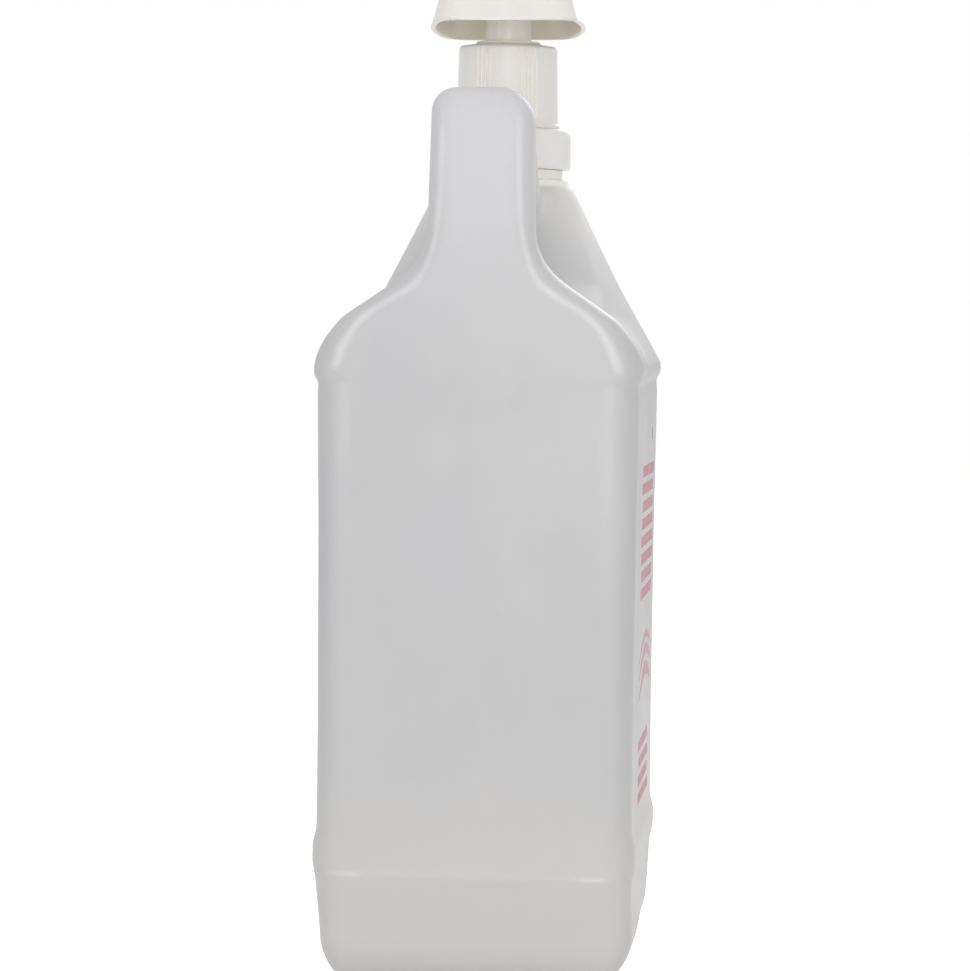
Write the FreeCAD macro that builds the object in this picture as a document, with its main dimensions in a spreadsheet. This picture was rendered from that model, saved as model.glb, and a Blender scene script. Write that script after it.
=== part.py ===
import FreeCAD, Part
import Sketcher
import math
import os

# Pump bottle: a blow-moulded jug with a handle at one end, and a push-down pump screwed on its neck.
# Frame: millimetres, +Z up, origin at the centre of the base, +X from the handle end to the pump end.
# Every piece is drawn at its own height, and the pump's pieces are placed on the neck's axis.

doc = FreeCAD.newDocument("PumpBottle")

# ---------------------------------------------------------------- driving dimensions

SIZES = [
    # the jug's body
    ("body_length", 177.0, "over the two bumper belts, along X"),
    ("body_width", 108.0, "over the two bumper belts, along Y"),
    ("corner_radius", 13.0, "upright corners, in plan"),
    ("corner_least", 4.0, "the same corners where the heel curls in, at the least"),
    ("wall", 0.9, "moulded wall"),
    ("heel_radius", 20.0, "rounding between the base and the side walls"),
    ("heel_inset", 2.9, "how far the wall stands in at the top of the heel"),
    ("ledge_inset", 1.1, "how far the wall stands in just under the lower belt"),
    ("panel_recess", 1.3, "how far the side panels stand in behind the belts"),
    ("notch_depth", 1.7, "groove under the upper belt"),
    ("push_up", 2.0, "depth of the two hollows under the base"),
    ("rest_width", 6.0, "flat rim that the jug stands on, round the hollows under the base"),
    ("pinch_width", 8.0, "flat land between the two hollows, where the mould pinched the tube"),
    ("lower_belt_start", 38.0, "height of the ledge under the lower belt"),
    ("lower_belt_low", 43.0, "height where the lower belt is full"),
    ("lower_belt_high", 49.0, "height where the lower belt ends"),
    ("panel_low", 54.0, "height where the side panels start"),
    ("panel_high", 199.0, "height where the side panels end"),
    ("notch_height", 201.6, "height of the groove under the upper belt"),
    ("upper_belt_low", 204.4, "height where the upper belt is full"),
    ("shoulder_low", 207.5, "height where the shoulder starts to slope in"),
    ("shoulder_high", 268.0, "height where the shoulder meets the neck"),
    # the neck
    ("neck_offset", 37.0, "neck axis ahead of the middle of the body"),
    ("neck_foot_radius", 23.0, "top of the shoulder"),
    ("neck_bead_radius", 21.8, "bead under the closure"),
    ("neck_bead_height", 3.0, "height of that bead"),
    ("neck_radius", 17.45, "neck finish under its thread"),
    ("neck_bore", 14.5, "radius of the way into the bottle"),
    ("neck_land", 284.0, "height of the neck's top edge"),
    # the handle
    ("handle_width", 34.8, "upright column, along Y"),
    ("handle_depth", 28.0, "upright column, along X"),
    ("handle_round", 12.0, "upright corners of the column"),
    ("handle_top", 296.5, "height of the column's top"),
    ("handle_top_round", 8.5, "edge rounding at the column's top"),
    ("bar_width", 28.0, "top bar, across"),
    ("bar_depth", 26.0, "top bar, from its top to its underside"),
    ("bar_round", 10.0, "long edges of the top bar"),
    ("bar_drop", 1.5, "top bar's surface below the column's top"),
    ("bar_level_end", -38.0, "where the top bar starts to slope down, along X"),
    ("bar_foot_offset", 24.0, "where the top bar's axis ends, behind the neck's axis"),
    ("bar_foot_depth", 12.0, "the top bar's end below the top of the shoulder"),
    ("bar_bend", 40.0, "radius of the bend in the top bar"),
    ("flare_radius", 24.0, "fillet where the column spreads into the shoulder"),
    ("flare_slope", 37.0, "slope of the shoulder beside the column, in degrees"),
    ("flare_edge", 219.6, "height of the sloping shoulder at the outer edge of the flare"),
    ("flare_edge_inset", 8.6, "how far that edge stands in from the belt"),
    ("flare_back", 30.0, "how far the flare runs on behind the column"),
    # the closure, gasket and collar
    ("gasket_thickness", 1.0, "gasket on the neck's top edge"),
    ("flange_thickness", 1.2, "flange at the top of the pump barrel"),
    ("flange_radius", 17.4, "that flange, and the gasket under it"),
    ("closure_roof", 1.5, "top wall of the closure"),
    ("closure_height", 14.0, "closure, over all"),
    ("closure_radius", 22.4, "closure, outside"),
    ("closure_bore", 19.0, "closure, inside, over its thread"),
    ("closure_edge", 1.2, "rounding of the closure's top edge"),
    ("seat_gap", 0.1, "play between faces that press together but move apart"),
    ("pass_gap", 0.4, "play round what passes through a hole"),
    ("sleeve_radius", 13.2, "barrel sleeve that the collar is pressed on"),
    ("sleeve_height", 5.0, "that sleeve above its flange"),
    ("collar_radius", 17.3, "collar, outside"),
    ("collar_height", 29.0, "collar, over all"),
    ("collar_wall", 1.6, "collar wall"),
    ("collar_foot_radius", 18.4, "small foot of the collar"),
    ("collar_foot_height", 1.2, "height of that foot"),
    ("rib_depth", 0.45, "grip ribs above the collar's surface"),
    ("rib_width", 0.75, "one grip rib"),
    ("rib_pitch", 5.4, "from rib to rib, in degrees"),
    ("rib_count", 5, "grip ribs in one group"),
    ("rib_margin", 2.6, "plain band above and below the ribs"),
    ("lane_half_angle", 14.1, "half of the plain lane between two groups of ribs, in degrees"),
    # the moving head
    ("head_turn", 3.0, "how far the head and the collar stand turned, in degrees"),
    ("head_lift", 5.8, "head's rim above the collar's top"),
    ("head_height", 29.5, "head, over all"),
    ("head_back", 40.0, "rim behind the pump's axis"),
    ("head_front", 50.0, "rim ahead of the pump's axis"),
    ("head_back_width", 46.4, "rim, at the back"),
    ("head_front_width", 43.0, "rim, at the front"),
    ("head_side_bow", 4.6, "how far the long sides bow out"),
    ("head_front_bow", 3.0, "how far the front bows out"),
    ("head_side_draft", 8.0, "how far the sides lean in at the top"),
    ("head_end_draft", 6.0, "how far the ends lean in at the top"),
    ("head_corner", 7.0, "upright corners"),
    ("head_top_round", 6.0, "edge rounding at the top"),
    ("head_corner_growth", 0.3, "how much the corners grow where the top edge curls in, as a share"),
    ("head_wall", 1.8, "wall of the head"),
    ("head_roof", 2.0, "roof of the head"),
    ("hub_radius", 7.9, "boss that takes the stem"),
    ("hub_reach", 4.0, "how far the boss stands inside the collar"),
    ("ball_chamber_radius", 5.1, "chamber over the upper ball"),
    ("ball_throat", 3.2, "way out over the upper ball"),
    ("ball_lift", 2.0, "how far each ball can rise"),
    ("spout_radius", 4.3, "spout tube"),
    ("spout_stop_gap", 0.6, "spout above the collar's top when the head is pressed right down"),
    ("spout_bore", 2.4, "way through the spout"),
    ("spout_reach", 59.0, "spout's mouth ahead of the pump's axis"),
    ("spout_tip_radius", 3.35, "spout's mouth, outside"),
    ("spout_tip_drop", 2.2, "spout's mouth below the head's rim"),
    ("spout_bend", 7.0, "radius of the spout's bend"),
    # the pump's inside
    ("barrel_radius", 12.2, "pump barrel, outside"),
    ("barrel_bore", 10.8, "pump barrel, inside"),
    ("barrel_length", 60.0, "barrel below its flange, down to its cone"),
    ("barrel_cone", 8.0, "height of the cone at the barrel's foot"),
    ("socket_radius", 6.4, "socket for the dip tube, outside"),
    ("socket_length", 13.0, "that socket"),
    ("seat_bore", 3.2, "way in under the lower ball"),
    ("seat_thickness", 1.6, "floor between the barrel and the socket"),
    ("guide_length", 9.0, "stem guide, inside the barrel"),
    ("guide_flange", 1.2, "stem guide's flange over the sleeve"),
    ("stem_radius", 6.0, "stem, outside"),
    ("stem_bore", 3.6, "stem, inside"),
    ("stem_hold", 17.0, "stem's length inside the boss"),
    ("running_clearance", 0.05, "radial play of a running fit"),
    ("press_travel", 19.5, "how far the head can be pressed down"),
    ("piston_height", 9.0, "piston"),
    ("piston_skirt", 1.2, "lips of the piston"),
    ("piston_drop", 3.0, "piston's top below the stem guide"),
    ("spring_radius", 8.2, "spring, to the middle of its wire"),
    ("spring_wire", 1.3, "spring wire"),
    ("spring_pitch", 5.4, "spring, from coil to coil"),
    ("ball_radius", 4.3, "both balls"),
    ("ball_play", 0.3, "ball above its seat"),
    ("cage_roof", 1.5, "cage over the lower ball"),
    ("cage_rim", 1.4, "width of the rim under that cage"),
    ("cage_port", 1.2, "holes in the cage"),
    ("cage_port_circle", 5.4, "those holes, from the cage's middle"),
    ("cage_port_count", 6, "how many of those holes"),
    ("tube_radius", 4.6, "dip tube, outside"),
    ("tube_bore", 3.3, "dip tube, inside"),
    ("tube_floor_gap", 9.0, "dip tube above the bottle's floor"),
    # the printed side
    ("print_thickness", 0.2, "ink and varnish on the side panel"),
    ("print_start", 22.0, "first printed bar ahead of the handle end's belt"),
    ("print_line_height", 2.6, "one printed bar"),
    ("print_line_pitch", 5.9, "from bar to bar"),
    ("print_top", 178.0, "height of the printed dot"),
    ("print_dot_radius", 6.0, "printed dot"),
    ("print_block_drop", 16.0, "first printed bar below the dot"),
    ("print_field_height", 30.0, "printed wave band"),
    ("print_field_length", 128.0, "printed wave band, along the panel"),
]

sheet = doc.addObject("Spreadsheet::Sheet", "Sizes")
sheet.Label = "Sizes"
for row, (alias, value, meaning) in enumerate(SIZES, start=1):
    sheet.set("A%d" % row, str(value))
    sheet.setAlias("A%d" % row, alias)
    sheet.set("B%d" % row, meaning)
doc.recompute()


class Term:
    """A size that knows its value and the spreadsheet expression that gives it."""

    def __init__(self, value, text):
        self.value = value
        self.text = text

    @staticmethod
    def of(other):
        if isinstance(other, Term):
            return other
        return Term(float(other), repr(float(other)))

    def join(self, sign, other, value):
        return Term(value, "(%s %s %s)" % (self.text, sign, other.text))

    def __add__(self, other):
        other = Term.of(other)
        return self.join("+", other, self.value + other.value)

    def __sub__(self, other):
        other = Term.of(other)
        return self.join("-", other, self.value - other.value)

    def __mul__(self, other):
        other = Term.of(other)
        return self.join("*", other, self.value * other.value)

    def __truediv__(self, other):
        other = Term.of(other)
        return self.join("/", other, self.value / other.value)

    def root(self):
        """Return the square root."""
        return Term(math.sqrt(self.value), "sqrt(%s)" % self.text)

    def __radd__(self, other):
        return Term.of(other) + self

    def __rsub__(self, other):
        return Term.of(other) - self

    def __rmul__(self, other):
        return Term.of(other) * self

    def __neg__(self):
        return Term.of(0) - self


class SheetSizes:
    """Gives each alias of the spreadsheet as a Term."""

    def __getattr__(self, alias):
        return Term(float(sheet.get(alias)), "Sizes." + alias)


S = SheetSizes()

# ---------------------------------------------------------------- heights that follow from the sizes

FLANGE_LOW = S.neck_land + S.seat_gap + S.gasket_thickness
FLANGE_TOP = FLANGE_LOW + S.flange_thickness
CLOSURE_UNDER = FLANGE_TOP + S.seat_gap
CLOSURE_TOP = CLOSURE_UNDER + S.closure_roof
CLOSURE_LOW = CLOSURE_TOP - S.closure_height
COLLAR_LOW = CLOSURE_TOP + S.seat_gap
COLLAR_TOP = COLLAR_LOW + S.collar_height
SLEEVE_TOP = FLANGE_TOP + S.sleeve_height
GUIDE_TOP = SLEEVE_TOP + S.guide_flange
GUIDE_LOW = SLEEVE_TOP - S.guide_length
RIM = COLLAR_TOP + S.head_lift
HEAD_TOP = RIM + S.head_height
HUB_LOW = COLLAR_TOP - S.hub_reach
STEM_TOP = HUB_LOW + S.stem_hold
BARREL_END = FLANGE_LOW - S.barrel_length
SEAT_TOP = BARREL_END - S.barrel_cone
SEAT_LOW = SEAT_TOP - S.seat_thickness
SOCKET_LOW = SEAT_LOW - S.socket_length
PISTON_TOP = GUIDE_LOW - S.piston_drop
PISTON_LOW = PISTON_TOP - S.piston_height
SPOUT_HEIGHT = COLLAR_TOP + S.press_travel + S.spout_radius + S.spout_stop_gap
LOWER_BALL = SEAT_TOP + (S.ball_radius * S.ball_radius - S.seat_bore * S.seat_bore).root() + S.ball_play
UPPER_BALL = STEM_TOP + (S.ball_radius * S.ball_radius - S.stem_bore * S.stem_bore).root() + S.ball_play
CAGE_UNDER = LOWER_BALL + S.ball_radius + S.ball_lift + S.ball_play
CAGE_TOP = CAGE_UNDER + S.cage_roof
CHAMBER_TOP = UPPER_BALL + S.ball_radius + S.ball_lift + S.ball_play
SPRING_LOW = CAGE_TOP + S.spring_wire / 2
SPRING_HIGH = PISTON_LOW + S.piston_skirt - S.spring_wire / 2
SPOUT_MOUTH = RIM - S.spout_tip_drop


# ---------------------------------------------------------------- helpers for the sketched pieces

def origin_plane(body, role):
    """Return one of the body's own origin planes or axes."""
    for feature in body.Origin.OriginFeatures:
        if feature.Role == role:
            return feature
    raise ValueError(role)


def new_body(label, on_neck=True, turned=False):
    """Make an empty body, on the neck's axis unless it belongs to the jug."""
    body = doc.addObject("PartDesign::Body", label)
    body.Label = label
    if on_neck:
        body.setExpression("Placement.Base.x", S.neck_offset.text)
    if turned:
        body.setExpression("Placement.Rotation.Angle", S.head_turn.text)
    return body


def new_sketch(body, name, role, height=None):
    """Attach a sketch to one of the body's planes, at a height above it if one is given."""
    sketch = body.newObject("Sketcher::SketchObject", name)
    sketch.AttachmentSupport = [(origin_plane(body, role), "")]
    sketch.MapMode = "FlatFace"
    if height is not None:
        sketch.AttachmentOffset = FreeCAD.Placement(
            FreeCAD.Vector(0, 0, height.value), FreeCAD.Rotation())
        sketch.setExpression("AttachmentOffset.Base.z", height.text)
    return sketch


def bind(sketch, kind, geometry, point, size, name):
    """Set one coordinate, radius or distance of a sketch from the sheet."""
    if kind == "Radius":
        index = sketch.addConstraint(Sketcher.Constraint(kind, geometry, size.value))
    else:
        index = sketch.addConstraint(Sketcher.Constraint(kind, -1, 1, geometry, point, size.value))
    sketch.renameConstraint(index, name)
    sketch.setExpression("Constraints." + name, size.text)


def hold_point(sketch, geometry, point, across, along, name):
    """Place one end of a line, or a centre, by its two coordinates."""
    if across is None:
        sketch.addConstraint(Sketcher.Constraint("PointOnObject", geometry, point, -2))
    else:
        bind(sketch, "DistanceX", geometry, point, across, name + "_across")
    if along is None:
        sketch.addConstraint(Sketcher.Constraint("PointOnObject", geometry, point, -1))
    else:
        bind(sketch, "DistanceY", geometry, point, along, name + "_along")


def value_of(size):
    """Return the number of a size, or nought for a point on an axis."""
    return 0.0 if size is None else size.value


def draw_outline(sketch, points):
    """Draw a closed outline of straight lines through points given as pairs of sizes.

    None stands for a coordinate that lies on the sketch's own axis.
    """
    spots = [FreeCAD.Vector(value_of(a), value_of(b), 0) for a, b in points]
    count = len(spots)
    for index in range(count):
        sketch.addGeometry(Part.LineSegment(spots[index], spots[(index + 1) % count]), False)
    for index in range(count):
        sketch.addConstraint(Sketcher.Constraint("Coincident", index, 2, (index + 1) % count, 1))
    for index, (across, along) in enumerate(points):
        hold_point(sketch, index, 1, across, along, "p%d" % index)


def draw_circle(sketch, radius, across=None, along=None):
    """Draw a circle of a bound radius round the origin or a given point."""
    centre = FreeCAD.Vector(value_of(across), value_of(along), 0)
    index = sketch.addGeometry(Part.Circle(centre, FreeCAD.Vector(0, 0, 1), radius.value), False)
    bind(sketch, "Radius", index, 0, radius, "radius%d" % index)
    if across is None and along is None:
        sketch.addConstraint(Sketcher.Constraint("Coincident", index, 3, -1, 1))
    else:
        hold_point(sketch, index, 3, across, along, "centre%d" % index)


def turn(body, name, points, cut=False):
    """Revolve an outline of (radius, height) pairs about the body's upright axis."""
    sketch = new_sketch(body, name + "Section", "XZ_Plane")
    draw_outline(sketch, points)
    feature = body.newObject("PartDesign::Groove" if cut else "PartDesign::Revolution", name)
    feature.Profile = sketch
    feature.ReferenceAxis = (sketch, ["V_Axis"])
    feature.Angle = 360.0
    return feature


def turned_body(label, points, turned=False):
    """Make a piece that is one revolved section."""
    body = new_body(label, turned=turned)
    turn(body, label + "_turned", points)
    return body


def edges_where(shape, test):
    """Name the edges of a shape whose box passes a test."""
    return ["Edge%d" % (index + 1) for index, edge in enumerate(shape.Edges) if test(edge.BoundBox)]


def round_edges(body, name, radius, test):
    """Fillet the edges of the body's tip that pass a test."""
    doc.recompute()
    base = body.Tip
    feature = body.newObject("PartDesign::Fillet", name)
    feature.Base = (base, edges_where(base.Shape, test))
    feature.setExpression("Radius", radius.text)
    feature.Radius = radius.value
    return feature


# ---------------------------------------------------------------- the jug

# The jug is one blown shell. Its walls are lofted through many level sections and its handle is a
# hollow loop, so it is a Part::Feature: the same solid is drawn twice, as the outside and as the
# hollow, and the second is cut from the first.

def point(x, y, z):
    return FreeCAD.Vector(x, y, z)


def rounded_loop(half_x, half_y, corner, centre_x, height):
    """Return a level rounded rectangle as a closed wire."""
    corner = min(corner, 0.96 * half_x, 0.96 * half_y)
    edges = []
    corners = [(1, 1, 0), (-1, 1, 90), (-1, -1, 180), (1, -1, 270)]
    arcs = []
    for side_x, side_y, start in corners:
        centre = point(centre_x + side_x * (half_x - corner), side_y * (half_y - corner), height)
        spots = []
        for angle in (start, start + 45, start + 90):
            radians = math.radians(angle)
            spots.append(centre + point(corner * math.cos(radians), corner * math.sin(radians), 0))
        arcs.append(spots)
    for index, spots in enumerate(arcs):
        following = arcs[(index + 1) % 4]
        edges.append(Part.Arc(spots[0], spots[1], spots[2]).toShape())
        edges.append(Part.LineSegment(spots[2], following[0]).toShape())
    return Part.Wire(edges)


def body_sections(inset):
    """List the jug's level sections as (height, inset), from the base to the shoulder."""
    heel = S.heel_radius.value
    heel_inset = S.heel_inset.value
    sections = []
    for angle in (0, 15, 30, 45, 60, 75, 90):
        radians = math.radians(angle)
        sections.append((heel - heel * math.cos(radians), heel_inset + heel - heel * math.sin(radians)))
    sections.append((S.lower_belt_start.value, S.ledge_inset.value))
    sections.append((S.lower_belt_low.value, 0.0))
    sections.append((S.lower_belt_high.value, 0.0))
    sections.append((S.panel_low.value, S.panel_recess.value))
    sections.append((S.panel_high.value, S.panel_recess.value))
    sections.append((S.notch_height.value, S.notch_depth.value))
    sections.append((S.upper_belt_low.value, 0.0))
    sections.append((S.shoulder_low.value, 0.0))
    return [(height, depth + inset) for height, depth in sections]


def body_block(inset):
    """Loft the jug's body and shoulder, drawn smaller by the inset."""
    half_x = S.body_length.value / 2
    half_y = S.body_width.value / 2
    corner = S.corner_radius.value
    wires = []
    floor = S.push_up.value + inset if inset > 0 else 0.0
    for height, depth in body_sections(inset):
        if height < S.heel_radius.value:
            height = floor + height * (S.heel_radius.value - floor) / S.heel_radius.value
        if height > S.panel_high.value:
            height = height - inset
        curl = max(corner - depth, S.corner_least.value)
        wires.append(rounded_loop(half_x - depth, half_y - depth, curl, 0.0, height))
    foot = S.neck_foot_radius.value - inset
    wires.append(rounded_loop(foot, foot, foot - 1.0, S.neck_offset.value, S.shoulder_high.value - inset))
    return Part.makeLoft(wires, True, True)


def column_sections(inset):
    """List the handle column's sections as (height, half width, depth along X).

    From the bottom up: the shoulder beside the column, a concave flare, the plain column and its
    rounded top. An inset gives the sections of the hollow inside.
    """
    half = S.handle_width.value / 2
    radius = S.flare_radius.value
    slope = math.radians(S.flare_slope.value)
    belt = S.body_width.value / 2
    low = S.shoulder_low.value
    edge_y = belt - S.flare_edge_inset.value
    edge_z = S.flare_edge.value
    profile = []
    for share in (0.0, 0.35, 0.7, 1.0):
        across = edge_y + (belt - edge_y) * (1 - share ** 1.6)
        profile.append((low + (edge_z - low) * share, across))
    tangent_y = half + radius - radius * math.sin(slope)
    tangent_z = edge_z + (edge_y - tangent_y) * math.tan(slope)
    centre_z = tangent_z + radius * math.cos(slope)
    steps = 5
    for step in range(steps + 1):
        angle = math.pi / 2 - slope - (math.pi / 2 - slope) * step / steps
        profile.append((centre_z - radius * math.sin(angle), half + radius - radius * math.cos(angle)))
    rounding = S.handle_top_round.value
    for angle in (0, 25, 50, 70, 90):
        radians = math.radians(angle)
        profile.append((S.handle_top.value - rounding + rounding * math.sin(radians),
                        half - rounding + rounding * math.cos(radians)))
    spread = S.flare_back.value
    sections = []
    for height, across in profile:
        depth = S.handle_depth.value
        if height < centre_z:
            depth = depth + spread * ((centre_z - height) / (centre_z - low)) ** 2
        if across < half:
            depth = depth - 2 * (half - across)
        sections.append((height - inset, across - inset, depth - 2 * inset))
    return sections


def column(inset):
    """Loft the handle's column with the web that spreads it into the shoulder."""
    near = -S.body_length.value / 2
    wires = []
    for height, half_y, depth in column_sections(inset):
        middle = near + S.handle_depth.value / 2
        if half_y + inset >= S.handle_width.value / 2:
            middle = near + inset + depth / 2
        spread = max(0.0, half_y + inset - S.handle_width.value / 2)
        corner = min(S.handle_round.value + spread, S.corner_radius.value) - inset
        if depth + 2 * inset < S.handle_depth.value:
            corner = corner - (S.handle_depth.value - depth - 2 * inset) / 4
        wires.append(rounded_loop(depth / 2, half_y, corner, middle, height))
    return Part.makeLoft(wires, True, True)


def bar_path():
    """Return the top bar's centre line: level, then a bend, then down to the foot of the neck."""
    level = S.handle_top.value - S.bar_drop.value - S.bar_depth.value / 2
    start = point(-S.body_length.value / 2 + S.handle_depth.value / 2, 0, level)
    turn_at = point(S.bar_level_end.value, 0, level)
    end = point(S.neck_offset.value - S.bar_foot_offset.value, 0,
                S.shoulder_high.value - S.bar_foot_depth.value)
    down = (end - turn_at).normalize()
    angle = math.acos(max(-1.0, min(1.0, down.x)))
    reach = S.bar_bend.value * math.tan(angle / 2)
    first = turn_at - point(reach, 0, 0)
    last = turn_at + down * reach
    centre = first - point(0, 0, S.bar_bend.value)
    middle = centre + point(math.sin(angle / 2), 0, math.cos(angle / 2)) * S.bar_bend.value
    edges = [Part.LineSegment(start, first).toShape(),
             Part.Arc(first, middle, last).toShape(),
             Part.LineSegment(last, end).toShape()]
    return Part.Wire(edges), start


def top_bar(inset):
    """Sweep the handle's top bar along its centre line."""
    path, start = bar_path()
    half_y = S.bar_width.value / 2 - inset
    half_z = S.bar_depth.value / 2 - inset
    loop = rounded_loop(half_z, half_y, S.bar_round.value - inset, 0.0, 0.0)
    loop.rotate(point(0, 0, 0), point(0, 1, 0), 90)
    loop.translate(start)
    shell = path.makePipeShell([loop], True, False)
    return shell if shell.ShapeType == "Solid" else Part.Solid(shell)


def neck(inset):
    """Draw the neck's finish and bead, or its bore where the jug is drawn hollow."""
    axis = point(0, 0, 1)
    foot = S.shoulder_high.value - S.neck_foot_radius.value / 2
    at = point(S.neck_offset.value, 0, foot)
    if inset > 0:
        return Part.makeCylinder(S.neck_bore.value, S.neck_land.value - foot, at, axis)
    finish = Part.makeCylinder(S.neck_radius.value, S.neck_land.value - foot, at, axis)
    bead_at = point(S.neck_offset.value, 0, S.shoulder_high.value)
    bead = Part.makeCylinder(S.neck_bead_radius.value, S.neck_bead_height.value, bead_at, axis)
    edges = [edge for edge in bead.Edges if edge.BoundBox.ZMin > S.shoulder_high.value + 0.1]
    bead = bead.makeChamfer(S.neck_bead_height.value / 3, edges)
    return finish.fuse(bead)


def jug(inset):
    """Join every part of the jug, as its outside or as its hollow."""
    pieces = [column(inset), top_bar(inset), neck(inset)]
    return body_block(inset).fuse(pieces).removeSplitter()


def base_hollows():
    """Draw the two shallow hollows under the base, one on each side of the pinched land."""
    heel = S.heel_inset.value + S.heel_radius.value + S.rest_width.value
    half_x = S.body_length.value / 2 - heel
    outer_y = S.body_width.value / 2 - heel
    inner_y = S.pinch_width.value / 2
    half_y = (outer_y - inner_y) / 2
    corner = S.rest_width.value
    deep = S.push_up.value
    hollows = []
    for side in (1, -1):
        wires = []
        for height, lean in ((-deep, -deep), (deep, deep)):
            wire = rounded_loop(half_x - lean, half_y - lean, corner, 0.0, height)
            wire.translate(point(0, side * (outer_y + inner_y) / 2, 0))
            wires.append(wire)
        hollows.append(Part.makeLoft(wires, True, True))
    return hollows


bottle = doc.addObject("Part::Feature", "bottle")
bottle.Label = "bottle"
bottle.Shape = jug(0.0).cut([jug(S.wall.value)] + base_hollows())
bottle.Placement = FreeCAD.Placement()

# ---------------------------------------------------------------- the printed side

# A generic print on one side panel: a dot, a wave band and two blocks of plain bars. Each mark is
# a thin flat solid on the panel, and all of them are one printed layer.
# The bars' lengths are shares of the wave band's length, from the top down.
UPPER_BARS = (0.62, 0.94, 1.0, 0.88, 0.97, 0.71, 0.92)
LOWER_BARS = (0.55, 0.82, 0.68, 0.4)


def printed_bar(start, low, length, height):
    """Return one flat printed bar on the side panel."""
    face_y = -(S.body_width.value / 2 - S.panel_recess.value)
    corner = point(start, face_y - S.print_thickness.value, low)
    return Part.makeBox(length, S.print_thickness.value, height, corner)


def printed_band(start, low):
    """Return the printed wave band: a flat crescent between two arcs."""
    face_y = -(S.body_width.value / 2 - S.panel_recess.value)
    length = S.print_field_length.value
    rise = S.print_field_height.value
    left = point(start, face_y, low)
    right = point(start + length, face_y, low + rise / 3)
    crest = point(start + length / 2, face_y, low + rise)
    hollow = point(start + length / 2, face_y, low + rise / 3)
    edges = [Part.Arc(left, crest, right).toShape(), Part.Arc(right, hollow, left).toShape()]
    return Part.Face(Part.Wire(edges)).extrude(point(0, -S.print_thickness.value, 0))


def printed_marks():
    """Lay out the dot, the upper bars, the wave band and the lower bars."""
    face_y = -(S.body_width.value / 2 - S.panel_recess.value)
    start = -S.body_length.value / 2 + S.print_start.value
    length = S.print_field_length.value
    dot_at = point(start + length / 2, face_y, S.print_top.value)
    marks = [Part.makeCylinder(S.print_dot_radius.value, S.print_thickness.value, dot_at, point(0, -1, 0))]
    upper = S.print_top.value - S.print_block_drop.value
    pitch = S.print_line_pitch.value
    for index, share in enumerate(UPPER_BARS):
        bar_length = length * share
        marks.append(printed_bar(start + (length - bar_length) / 2, upper - index * pitch,
                                 bar_length, S.print_line_height.value))
    band_low = upper - len(UPPER_BARS) * pitch - S.print_field_height.value
    marks.append(printed_band(start, band_low))
    for index, share in enumerate(LOWER_BARS):
        marks.append(printed_bar(start, band_low - (index + 2) * pitch, length * share,
                                 S.print_line_height.value))
    return Part.makeCompound(marks)


side_print = doc.addObject("Part::Feature", "side_print")
side_print.Label = "side_print"
side_print.Shape = printed_marks()
side_print.Placement = FreeCAD.Placement()

# ---------------------------------------------------------------- the closure and its gasket

CLOSURE_HOLE = S.sleeve_radius + S.pass_gap
closure = turned_body("closure_ring", [
    (CLOSURE_HOLE, CLOSURE_UNDER),
    (S.closure_bore, CLOSURE_UNDER),
    (S.closure_bore, CLOSURE_LOW),
    (S.closure_radius, CLOSURE_LOW),
    (S.closure_radius, CLOSURE_TOP),
    (CLOSURE_HOLE, CLOSURE_TOP),
])
round_edges(closure, "closure_top_edge", S.closure_edge,
            lambda box: box.ZMin > CLOSURE_TOP.value - 0.01 and box.XMax > S.closure_radius.value - 0.1)

gasket = turned_body("neck_gasket", [
    (S.neck_bore, S.neck_land + S.seat_gap),
    (S.flange_radius, S.neck_land + S.seat_gap),
    (S.flange_radius, FLANGE_LOW),
    (S.neck_bore, FLANGE_LOW),
])

# ---------------------------------------------------------------- the pump's fixed pieces

barrel = turned_body("pump_barrel", [
    (S.barrel_bore, SLEEVE_TOP),
    (S.barrel_bore, BARREL_END),
    (S.ball_radius + S.ball_lift / 2, SEAT_TOP + S.ball_lift / 2),
    (S.seat_bore, SEAT_TOP),
    (S.seat_bore, SEAT_LOW),
    (S.tube_radius, SEAT_LOW),
    (S.tube_radius, SOCKET_LOW),
    (S.socket_radius, SOCKET_LOW),
    (S.socket_radius, SEAT_LOW + 1),
    (S.barrel_radius, BARREL_END - 1),
    (S.barrel_radius, FLANGE_LOW),
    (S.flange_radius, FLANGE_LOW),
    (S.flange_radius, FLANGE_TOP),
    (S.sleeve_radius, FLANGE_TOP),
    (S.sleeve_radius, SLEEVE_TOP),
])

GUIDE_BORE = S.stem_radius + S.running_clearance
guide = turned_body("stem_guide", [
    (GUIDE_BORE, GUIDE_LOW),
    (S.barrel_bore, GUIDE_LOW),
    (S.barrel_bore, SLEEVE_TOP),
    (S.sleeve_radius, SLEEVE_TOP),
    (S.sleeve_radius, GUIDE_TOP),
    (GUIDE_BORE, GUIDE_TOP),
])

# The collar is pressed on the barrel's sleeve. Its foot stands just over the closure, and the head's
# boss passes through the hole in its roof.
COLLAR_INSIDE = S.collar_radius - S.collar_wall
HUB_HOLE = S.hub_radius + S.pass_gap
collar = turned_body("ribbed_collar", [
    (S.sleeve_radius, COLLAR_LOW),
    (S.collar_foot_radius, COLLAR_LOW),
    (S.collar_foot_radius, COLLAR_LOW + S.collar_foot_height / 2),
    (S.collar_radius, COLLAR_LOW + S.collar_foot_height * 1.5),
    (S.collar_radius, COLLAR_TOP - S.closure_edge / 2),
    (S.collar_radius - S.closure_edge / 2, COLLAR_TOP),
    (HUB_HOLE, COLLAR_TOP),
    (HUB_HOLE, COLLAR_TOP - S.collar_wall),
    (COLLAR_INSIDE, COLLAR_TOP - S.collar_wall),
    (COLLAR_INSIDE, SLEEVE_TOP + S.collar_foot_height),
    (S.sleeve_radius, SLEEVE_TOP),
], turned=True)

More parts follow.
